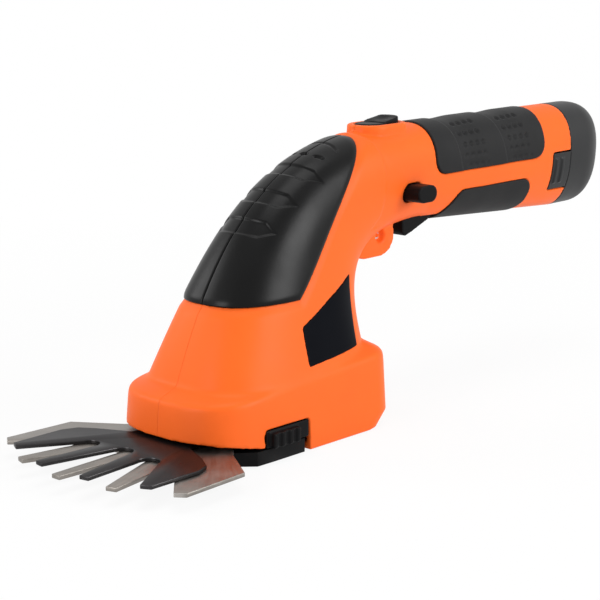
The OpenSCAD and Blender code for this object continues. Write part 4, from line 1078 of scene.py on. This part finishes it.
@dataclass
class FrontCover:
    """The black cover halves on the tower's front, with pressed bands and vent slots."""

    form: BodyForm
    edge: Outline = ((23, 52.6), (40, 67), (52, 87), (69, 105.0))
    proud: float = 0.5
    thickness: float = 1.8
    grid: tuple[int, int] = (240, 120)
    front_steps: int = 801
    flank_steps: int = 480
    flank_power: float = 2.3
    rim_points: int = 80
    seam_gap: float = 0.04
    seam_width: float = 0.45
    seam_depth: float = 0.4
    band_places: tuple[float, ...] = (95.3, 79.6, 65.3)
    band_half: float = 3.4
    band_reach: float = 13.2
    band_taper: float = 1.15
    band_depth: float = 0.5
    band_edge: Pair = (0.3, -0.7)
    vent_place: float = 106.4
    vent_spots: tuple[float, ...] = (-6.2, 0.0, 6.2)
    vent_size: Pair = (1.9, 0.95)
    vent_depth: float = 1.0
    vent_edge: Pair = (1.25, 0.75)
    arch_place: float = 116.9
    arch_bend: float = 0.045
    arch_half: float = 8.5
    arch_depth: float = 0.35
    arch_edge: Pair = (0.9, 0.2)
    lip_width: float = 2.6
    lip_depth: float = 0.55
    lip_power: float = 2.5

    @property
    def low_z(self) -> float:
        """Height of the cover's lower edge."""
        return self.edge[0][1]

    def beyond_edge(self, points: np.ndarray) -> np.ndarray:
        """Distance of points behind or below the cover's rim, negative inside it.

        Args:
            points: places in millimetres.

        Returns:
            Distances seen from the side.
        """
        rim = bezier(self.edge, np.linspace(0, 1, self.rim_points))
        flat = points[:, [0, 2]]
        away = np.full(len(flat), OUT_OF_REACH)
        for a, b in zip(rim[:-1], rim[1:]):
            along = np.clip(((flat - a) @ (b - a)) / ((b - a) @ (b - a)), 0, 1)
            away = np.minimum(away, np.linalg.norm(flat - a - along[:, None] * (b - a), axis=1))
        inside = (flat[:, 0] < np.interp(flat[:, 1], rim[:, 1], rim[:, 0])) & (flat[:, 1] > self.low_z)
        below = np.where(flat[:, 0] < rim[0, 0], np.abs(self.low_z - flat[:, 1]), OUT_OF_REACH)
        return np.minimum(away, below) * np.where(inside, -1.0, 1.0)

    def places(self, points: np.ndarray) -> np.ndarray:
        """How far up the tower's front each point lies, along the curve."""
        t = np.linspace(0, 1, CURVE_STEPS)
        run = run_lengths(bezier(self.form.front_curve, t))
        return np.interp(self.form.tower_place(points[:, [0, 2]]), t, run)

    def detail(self, points: np.ndarray) -> np.ndarray:
        """The pressed bands, vent slots, arch, rim slope and middle seam.

        Args:
            points: places in millimetres.

        Returns:
            A depth for each place.
        """
        place, y = self.places(points), points[:, 1]
        depth = np.zeros(len(points))
        for centre in self.band_places:
            along = np.abs(place - centre)
            slant = np.abs(y) + self.band_taper * along - self.band_reach
            outside = np.maximum(along - self.band_half, slant)
            depth = np.maximum(depth, self.band_depth * smoothstep(*self.band_edge, outside))
        for spot in self.vent_spots:
            oval = np.hypot((y - spot) / self.vent_size[0], (place - self.vent_place) / self.vent_size[1])
            depth = np.maximum(depth, self.vent_depth * smoothstep(*self.vent_edge, oval))
        arch = np.abs(place - (self.arch_place - self.arch_bend * y * y))
        depth += self.arch_depth * smoothstep(*self.arch_edge, arch) * (np.abs(y) < self.arch_half)
        rim = np.clip(1 + self.beyond_edge(points) / self.lip_width, 0, 1)
        seam = smoothstep(self.seam_width, self.seam_gap, np.abs(y))
        return depth + self.lip_depth * rim ** self.lip_power + self.seam_depth * seam

    def surface(self) -> np.ndarray:
        """Even grid of points on the smooth cover at positive Y, from the middle to the rim."""
        rows, columns = self.grid
        t = np.linspace(0, 1, self.front_steps)
        near, across = self.form.middle_lines(t)
        front = near - across / np.linalg.norm(across, axis=1)[:, None] * self.proud
        start, end = np.interp(self.low_z, front[:, 1], t), np.interp(self.edge[-1][0], front[:, 0], t)
        up = np.linspace(0, 1, rows)
        middle, rim = resample(front, t, start + (end - start) * up), bezier(self.edge, up)
        steps = np.linspace(0, 1, self.flank_steps) ** self.flank_power
        grid = []
        for a, b in zip(middle, rim):
            line = self.form.on_flank(a + steps[:, None] * (b - a), self.proud)
            run = run_lengths(line)
            grid.append(resample(line, run, np.linspace(0, run[-1], columns)))
        return np.array(grid)

    def build(self) -> None:
        """Makes both halves."""
        grid = self.surface()
        normal = outward(grid)
        depth = self.detail(grid.reshape(-1, 3)).reshape(*self.grid, 1)
        outer, inner = grid - normal * depth, grid - normal * self.thickness
        inner[..., 2] = np.maximum(inner[..., 2], self.low_z)
        for sheet in (outer, inner):
            sheet[..., 1] = np.maximum(sheet[..., 1], self.seam_gap)
        for side in Side:
            part = Piece.from_shell(f"{side.word}_cover_skin", side, outer, inner).smooth()
            part.dress(FINISHES["black_cover"], Body.HOUSING, f"{side.word}_front_cover")


@dataclass
class SidePlates:
    """The smooth dark plates on the tower's flanks."""

    form: BodyForm
    proud: float = 0.1
    thickness: float = 0.85
    corners: Outline = ((22.2, 29.1), (51.6, 31.4), (54.0, 56.9), (22.0, 42.9))
    grid: tuple[int, int] = (90, 110)
    edge_width: float = 0.5
    edge_depth: float = 0.25

    def build(self) -> None:
        """Makes both plates."""
        low_front, low_rear, top_rear, top_front = np.array(self.corners, float)
        up, along = (np.linspace(0, 1, n) for n in self.grid)
        up, along = up[:, None, None], along[None, :, None]
        flat = (1 - up) * ((1 - along) * low_front + along * low_rear) + up * (
            (1 - along) * top_front + along * top_rear)
        grid = self.form.on_flank(flat.reshape(-1, 2), self.proud).reshape(*self.grid, 3)
        normal = outward(grid)
        width, height = np.ptp(flat[..., 0]), np.ptp(flat[..., 1], axis=0).mean()
        rim = np.minimum(np.minimum(up, 1 - up) * height, np.minimum(along, 1 - along) * width)
        outer = grid - normal * self.edge_depth * np.clip(1 - rim / self.edge_width, 0, 1) ** 2
        inner = grid - normal * self.thickness
        for side in Side:
            part = Piece.from_shell(f"{side.word}_plate_skin", side, outer, inner).smooth()
            part.dress(FINISHES["side_plate"], Body.HOUSING, f"{side.word}_side_plate")


@dataclass
class HandleGrips:
    """Soft grips over and under the handle, with two dimpled pads on each flank."""

    form: BodyForm
    proud: float = 0.5
    voxel: float = 0.5
    rest: Pair = (0.3, 0.6)
    pad_starts: Pair = (121.0, 150.5)
    pad_length: float = 17.0
    pad_depth: float = 0.55
    pad_lead: float = 1.2
    pad_front: Pair = (0.0, 0.7)
    pad_rear: Pair = (0.3, 1.0)
    pad_low_end: Pair = (96.0, 80.0)
    flank_angle: float = 90.0
    lean_reach: float = 5.0
    lean_power: float = 1.5
    row_angles: tuple[float, ...] = (22.0, 36.0, 50.0, 64.0, 78.0)
    row_depths: tuple[float, ...] = (1.0, 1.0, 0.75, 0.5, 0.35)
    columns: int = 4
    column_start: float = 4.2
    column_pitch: float = 3.7
    stagger: float = 0.25
    dimple_half: float = 1.3
    dimple_angle: float = 3.3067
    dimple_edge: Pair = (1.2, 0.5)
    dimple_depth: float = 0.7

    def lean(self, around: np.ndarray) -> np.ndarray:
        """How far the pads run back at each angle from the top, in millimetres."""
        return self.lean_reach * (around / self.flank_angle) ** self.lean_power

    def pads(self, points: np.ndarray) -> np.ndarray:
        """The pads and their dimples.

        Args:
            points: places in millimetres.

        Returns:
            A depth for each place.
        """
        around = np.degrees(np.arctan2(np.abs(points[:, 1]), points[:, 2] - self.form.handle_axis_z))
        x, depth = points[:, 0], np.zeros(len(points))
        for start in self.pad_starts:
            front = x - start - self.lean(around) + self.pad_lead
            fade = 1 - smoothstep(*self.pad_rear, front / self.pad_length)
            pad = smoothstep(*self.pad_front, front) * fade
            depth += self.pad_depth * pad * smoothstep(*self.pad_low_end, around)
            for row, (angle, share) in enumerate(zip(self.row_angles, self.row_depths)):
                shift = self.lean(angle) - self.column_pitch * self.stagger * (row % 2)
                first = start + self.column_start + shift
                for column in range(self.columns):
                    along = (x - first - self.column_pitch * column) / self.dimple_half
                    oval = np.hypot(along, (around - angle) / self.dimple_angle)
                    depth += self.dimple_depth * share * smoothstep(*self.dimple_edge, oval)
        return depth

    def build(self) -> None:
        """Makes both grips."""
        skin = Skin().add_loft(self.form.ring(s, self.proud) for s in self.form.handle_stations())
        top = Piece.from_nodes("top_grip_skin", "top_grip").remesh(self.voxel).relax(rounds=3)
        top.lay_on(skin, *self.rest).sink(self.pads, skin).relax(rounds=1, factor=0.35)
        low = Piece.from_nodes("lower_grip_skin", "lower_grip").remesh(self.voxel).relax(rounds=4)
        low.lay_on(skin, *self.rest)
        for part, node in ((top, "top_grip"), (low, "lower_grip")):
            part.smooth().dress(FINISHES["soft_grip"], Body.HOUSING, node)


@dataclass
class Controls:
    """Trigger, lock-off button, thumb button and the two blade releases."""

    voxel: float = 0.36
    release_voxel: float = 0.3
    thumb_x: float = 91.5
    dish_half: Pair = (5.2, 4.2)
    dish_depth: float = 0.5
    dish_edge: float = 1.1
    dish_low_z: float = 107.0
    thumb_step: Pair = (88.0, 93.0)
    thumb_base: float = 108.1
    thumb_start: float = 0.2

    def dish(self, points: np.ndarray) -> np.ndarray:
        """Depth of the hollow for the thumb."""
        oval = np.hypot((points[:, 0] - self.thumb_x) / self.dish_half[0], points[:, 1] / self.dish_half[1])
        return self.dish_depth * smoothstep(self.dish_edge, 0.0, oval) * (points[:, 2] > self.dish_low_z)

    def ramp(self, points: np.ndarray) -> np.ndarray:
        """Slopes the thumb button's raised part down towards its front.

        Args:
            points: places in millimetres.

        Returns:
            How far each point rises, negative where it drops.
        """
        front, rear = self.thumb_step
        above = np.maximum(points[:, 2] - self.thumb_base, 0.0)
        along = np.sin(np.pi / 2 * np.clip((points[:, 0] - front) / (rear - front), 0, 1))
        return above * (self.thumb_start + (1 - self.thumb_start) * along - 1.0)

    def build(self) -> None:
        """Makes the controls."""
        finish = FINISHES["black_plastic"]
        trigger = Piece.from_nodes("trigger_skin", "trigger").remesh(self.voxel).relax(rounds=5)
        trigger.smooth().dress(finish, Body.TRIGGER, "trigger")
        lock_off = Piece.from_nodes("lock_off_skin", "lock_off_button").remesh(self.voxel).relax(rounds=4)
        lock_off.smooth().dress(finish, Body.LOCK_OFF, "lock_off_button")
        thumb = Piece.from_nodes("thumb_skin", "thumb_button").remesh(self.voxel)
        thumb.sink(self.dish).lift(self.ramp).relax(rounds=5)
        thumb.smooth().dress(finish, Body.THUMB, "thumb_button")
        for side in Side:
            node = f"{side.word}_release_button"
            release = Piece.from_nodes(f"{side.word}_release_skin", node).remesh(self.release_voxel)
            release.relax(rounds=9).smooth().dress(finish, f"{side.word}_release", node)


@dataclass
class BatteryPack:
    """The pack's case and its two ribbed latches."""

    form: BodyForm
    voxel: float = 0.42
    latch_voxel: float = 0.3
    case_rest: Pair = (0.4, 0.9)
    latch_rest: Pair = (0.25, 0.5)
    cover_overlap: float = 1.0
    rib_places: Pair = (190.0, 194.2)
    rib_width: float = 2.0
    rib_soft: float = 0.25
    rib_zone: Pair = (74.7, 85.2)
    zone_soft: float = 0.4
    rib_height: float = 0.55

    def ribs(self, points: np.ndarray) -> np.ndarray:
        """The latches' ribs.

        Args:
            points: places in millimetres.

        Returns:
            A depth for each place, negative on the ribs.
        """
        half = self.rib_width / 2
        ribs = ((place - half, place + half) for place in self.rib_places)
        rise = sum(window(points[:, 0], *rib, self.rib_soft) for rib in ribs)
        return -self.rib_height * rise * window(points[:, 2], *self.rib_zone, self.zone_soft)

    def outside(self, points: np.ndarray) -> np.ndarray:
        """Mask of the points on the tail, which the handle doesn't cover."""
        return points[:, 0] > self.form.handle_end - self.cover_overlap

    def build(self) -> None:
        """Makes the case and both latches."""
        finish = FINISHES["battery_plastic"]
        tail = Skin().add_loft(self.form.ring(s) for s in self.form.tail_stations())
        case = Piece.from_nodes("battery_skin", "battery_case").remesh(self.voxel)
        case.relax(rounds=7, where=self.outside).lay_on(tail, *self.case_rest)
        case.smooth().dress(finish, Body.BATTERY, "battery_case")
        handle = Skin().add_loft(self.form.ring(s) for s in self.form.handle_stations())
        for side in Side:
            node = f"{side.word}_battery_latch"
            latch = Piece.from_nodes(f"{side.word}_latch_skin", node).remesh(self.latch_voxel).relax(rounds=3)
            latch.lay_on(handle, *self.latch_rest).sink(self.ribs, handle)
            latch.smooth().dress(finish, f"{side.word}_latch", node)


@dataclass
class BladeSet:
    """Carrier and both toothed blades."""

    ground_edge: float = 0.32
    carrier_edge: float = 0.6

    def build(self) -> None:
        """Makes the pieces of the cutting set."""
        carrier = Piece.from_nodes("carrier_skin", "blade_carrier").bevel(self.carrier_edge, segments=3)
        carrier.dress(FINISHES["black_plastic"], Body.BLADE_SET, "blade_carrier")
        lower = Piece.from_nodes("lower_blade_skin", "lower_blade").bevel(self.ground_edge, segments=2)
        lower.dress(GROUND_BLADE, Body.BLADE_SET, "lower_blade")
        upper = Piece.from_nodes("upper_blade_skin", "upper_blade").bevel(self.ground_edge, segments=2)
        upper.dress(FINISHES["coated_steel"], Body.SWING_BLADE, "upper_blade")


@dataclass(frozen=True)
class Spring:
    """A coil spring under a button: its joint, its seat and its travel."""

    node: str
    body: str
    joint: str
    axis: int
    seat: float
    travel: float

    def build(self) -> None:
        """Makes the coil, measures its length from its seat and gives it its own mesh."""
        coil = Piece.from_nodes(f"{self.node}_coil", self.node).smooth().dress(
            FINISHES["steel"], self.body, self.node)
        length = np.abs(coil.points()[:, self.axis] - self.seat).max()
        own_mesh(coil.obj)


SPRINGS: tuple[Spring, ...] = (
    Spring("left_release_spring", Body.BLADE_SET, "left_release_press", 1, -20.5, 2.5),
    Spring("right_release_spring", Body.BLADE_SET, "right_release_press", 1, 20.5, 2.5),
    Spring("trigger_spring", Body.HOUSING, "trigger_pull", 2, 84.1, 1.75),
    Spring("lock_off_spring", Body.HOUSING, "lock_off_push", 1, 1.0, 5.15),
    Spring("thumb_spring", Body.HOUSING, "thumb_press", 2, 99.4, 2.0),
    Spring("left_latch_spring", Body.BATTERY, "left_latch_press", 1, -7.85, 1.2),
    Spring("right_latch_spring", Body.BATTERY, "right_latch_press", 1, 7.85, 1.2),
)


class InnerWorks:
    """The CAD nodes that stay as they are and only take their finishes."""

    @staticmethod
    def finish_of(obj: bpy.types.Object) -> Finish:
        """The finish for the material slot that a CAD node is packed with."""
        slots = [m.name.split(".")[0] for m in obj.data.materials if m]
        return next((FINISHES[slot] for slot in slots if slot in FINISHES), FINISHES["steel"])

    def build(self) -> None:
        """Dresses every CAD node that is still shown."""
        for name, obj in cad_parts.items():
            if obj.hide_render:
                continue
            finish = self.finish_of(obj)
            obj.data.materials.clear()
            obj.data.materials.append(finish.material())
            LOG.info("%s: CAD solid in %s", name, finish.name)


def add_facing(data: bpy.types.ID, place: Vector, look: Vector) -> bpy.types.Object:
    """Adds a camera or a lamp to the scene.

    Args:
        data: the camera's or lamp's data.
        place: where it stands, in metres.
        look: the direction that it faces.

    Returns:
        The new object.
    """
    obj = bpy.data.objects.new(data.name, data)
    obj.location = place
    obj.rotation_mode = "QUATERNION"
    obj.rotation_quaternion = look.to_track_quat("-Z", "Y")
    bpy.context.scene.collection.objects.link(obj)
    return obj


@dataclass(frozen=True)
class Lamp:
    """A soft square lamp: its place and edge length in metres and its power in watts."""

    name: str
    place: Place
    size: float
    power: float

    def build(self, aim: Place) -> None:
        """Hangs the lamp so that it faces a point, given in metres."""
        data = bpy.data.lights.new(self.name, "AREA")
        data.shape, data.size, data.energy = "SQUARE", self.size, self.power
        add_facing(data, Vector(self.place), Vector(aim) - Vector(self.place))


@dataclass
class Studio:
    """Pale floor, soft lamps and the camera at the photograph's angle."""

    heading: float = 42.4667
    dip: float = 12.3905
    place_mm: Place = (-420.944, -427.040, 184.699)
    lens: float = 105.0
    sensor: float = 36.0
    sight: Pair = (0.01, 50.0)
    fill_light: float = 0.42
    floor_size: float = 6.0
    floor_drop_mm: float = 0.3
    floor_grey: float = 0.88
    shadow_zone: Pair = (0.16, 0.5)
    floor_glow: Pair = (0.9, 1.0)
    aim: Place = (0.08, 0.0, 0.06)
    lamps: tuple[Lamp, ...] = (
        Lamp("near_box", (0.5, -1.03, 0.46), 0.55, 9.0),
        Lamp("far_box", (-0.5, 0.95, 0.62), 0.5, 3.6),
        Lamp("front_box", (-1.2, 0.1, 0.45), 0.6, 7.0),
        Lamp("top_box", (0.1, -0.1, 1.3), 0.7, 4.5),
    )

    def camera(self) -> None:
        """Places the camera."""
        h, p = math.radians(self.heading), math.radians(self.dip)
        look = Vector((math.cos(h) * math.cos(p), math.sin(h) * math.cos(p), -math.sin(p)))
        data = bpy.data.cameras.new("photo_camera")
        data.lens, data.sensor_width = self.lens, self.sensor
        data.clip_start, data.clip_end = self.sight
        bpy.context.scene.camera = add_facing(data, Vector(self.place_mm) * MM, look)

    @staticmethod
    def seen(kit: Shader) -> bpy.types.NodeSocket:
        """Mask of rays that show the background: camera, mirror and glass rays."""
        path = kit.node("ShaderNodeLightPath")
        both = kit.math("MAXIMUM", path.outputs["Is Camera Ray"], path.outputs["Is Glossy Ray"])
        return kit.math("MAXIMUM", both, path.outputs["Is Transmission Ray"])

    def world(self) -> None:
        """White surroundings that give a soft even light."""
        world = bpy.data.worlds.new("white_studio")
        kit = Shader.cleared(world)
        light = kit.node("ShaderNodeBackground", None, Color=WHITE, Strength=self.fill_light)
        shown = kit.node("ShaderNodeBackground", None, Color=WHITE, Strength=1.0)
        kit.node("ShaderNodeOutputWorld", None, Surface=kit.blend(self.seen(kit), light, shown).outputs[0])
        bpy.context.scene.world = world

    def floor(self) -> None:
        """Pale floor that keeps a faint shadow near the tool and is clear from below."""
        mesh = bpy.data.meshes.new("floor")
        work = bmesh.new()
        bmesh.ops.create_grid(work, x_segments=8, y_segments=8, size=self.floor_size)
        bmesh.ops.translate(work, verts=work.verts, vec=(0, 0, -self.floor_drop_mm * MM))
        work.to_mesh(mesh)
        work.free()
        obj = bpy.data.objects.new("floor", mesh)
        bpy.context.scene.collection.objects.link(obj)
        made = bpy.data.materials.new("pale_floor")
        kit = Shader.cleared(made)
        place = kit.node("ShaderNodeTexCoord").outputs["Object"]
        away = kit.node("ShaderNodeVectorMath", {"operation": "LENGTH"}, i0=place).outputs["Value"]
        glowing = kit.math("MULTIPLY", self.seen(kit), kit.spread(away, self.shadow_zone, self.floor_glow))
        dull = kit.node("ShaderNodeBsdfDiffuse", None, Color=(*[self.floor_grey] * 3, 1.0))
        glow = kit.node("ShaderNodeEmission", None, Color=WHITE, Strength=1.0)
        below = kit.node("ShaderNodeNewGeometry").outputs["Backfacing"]
        shown = kit.blend(below, kit.blend(glowing, dull, glow), kit.node("ShaderNodeBsdfTransparent"))
        kit.node("ShaderNodeOutputMaterial", None, Surface=shown.outputs[0])
        mesh.materials.append(made)

    def build(self) -> None:
        """Sets up the whole studio."""
        self.camera()
        self.world()
        self.floor()
        for lamp in self.lamps:
            lamp.build(self.aim)
        bpy.context.scene.view_settings.view_transform = "Standard"


def main() -> None:
    """Builds the visual model piece by piece."""
    logging.basicConfig(level=logging.INFO, format="%(name)s %(message)s")
    form = BodyForm()
    Studio().build()
    cover = FrontCover(form)
    Housing(form).build(cover)
    cover.build()
    SidePlates(form).build()
    HandleGrips(form).build()
    Controls().build()
    BatteryPack(form).build()
    BladeSet().build()
    for spring in SPRINGS:
        spring.build()
    InnerWorks().build()


if __name__ == "__main__":
    main()
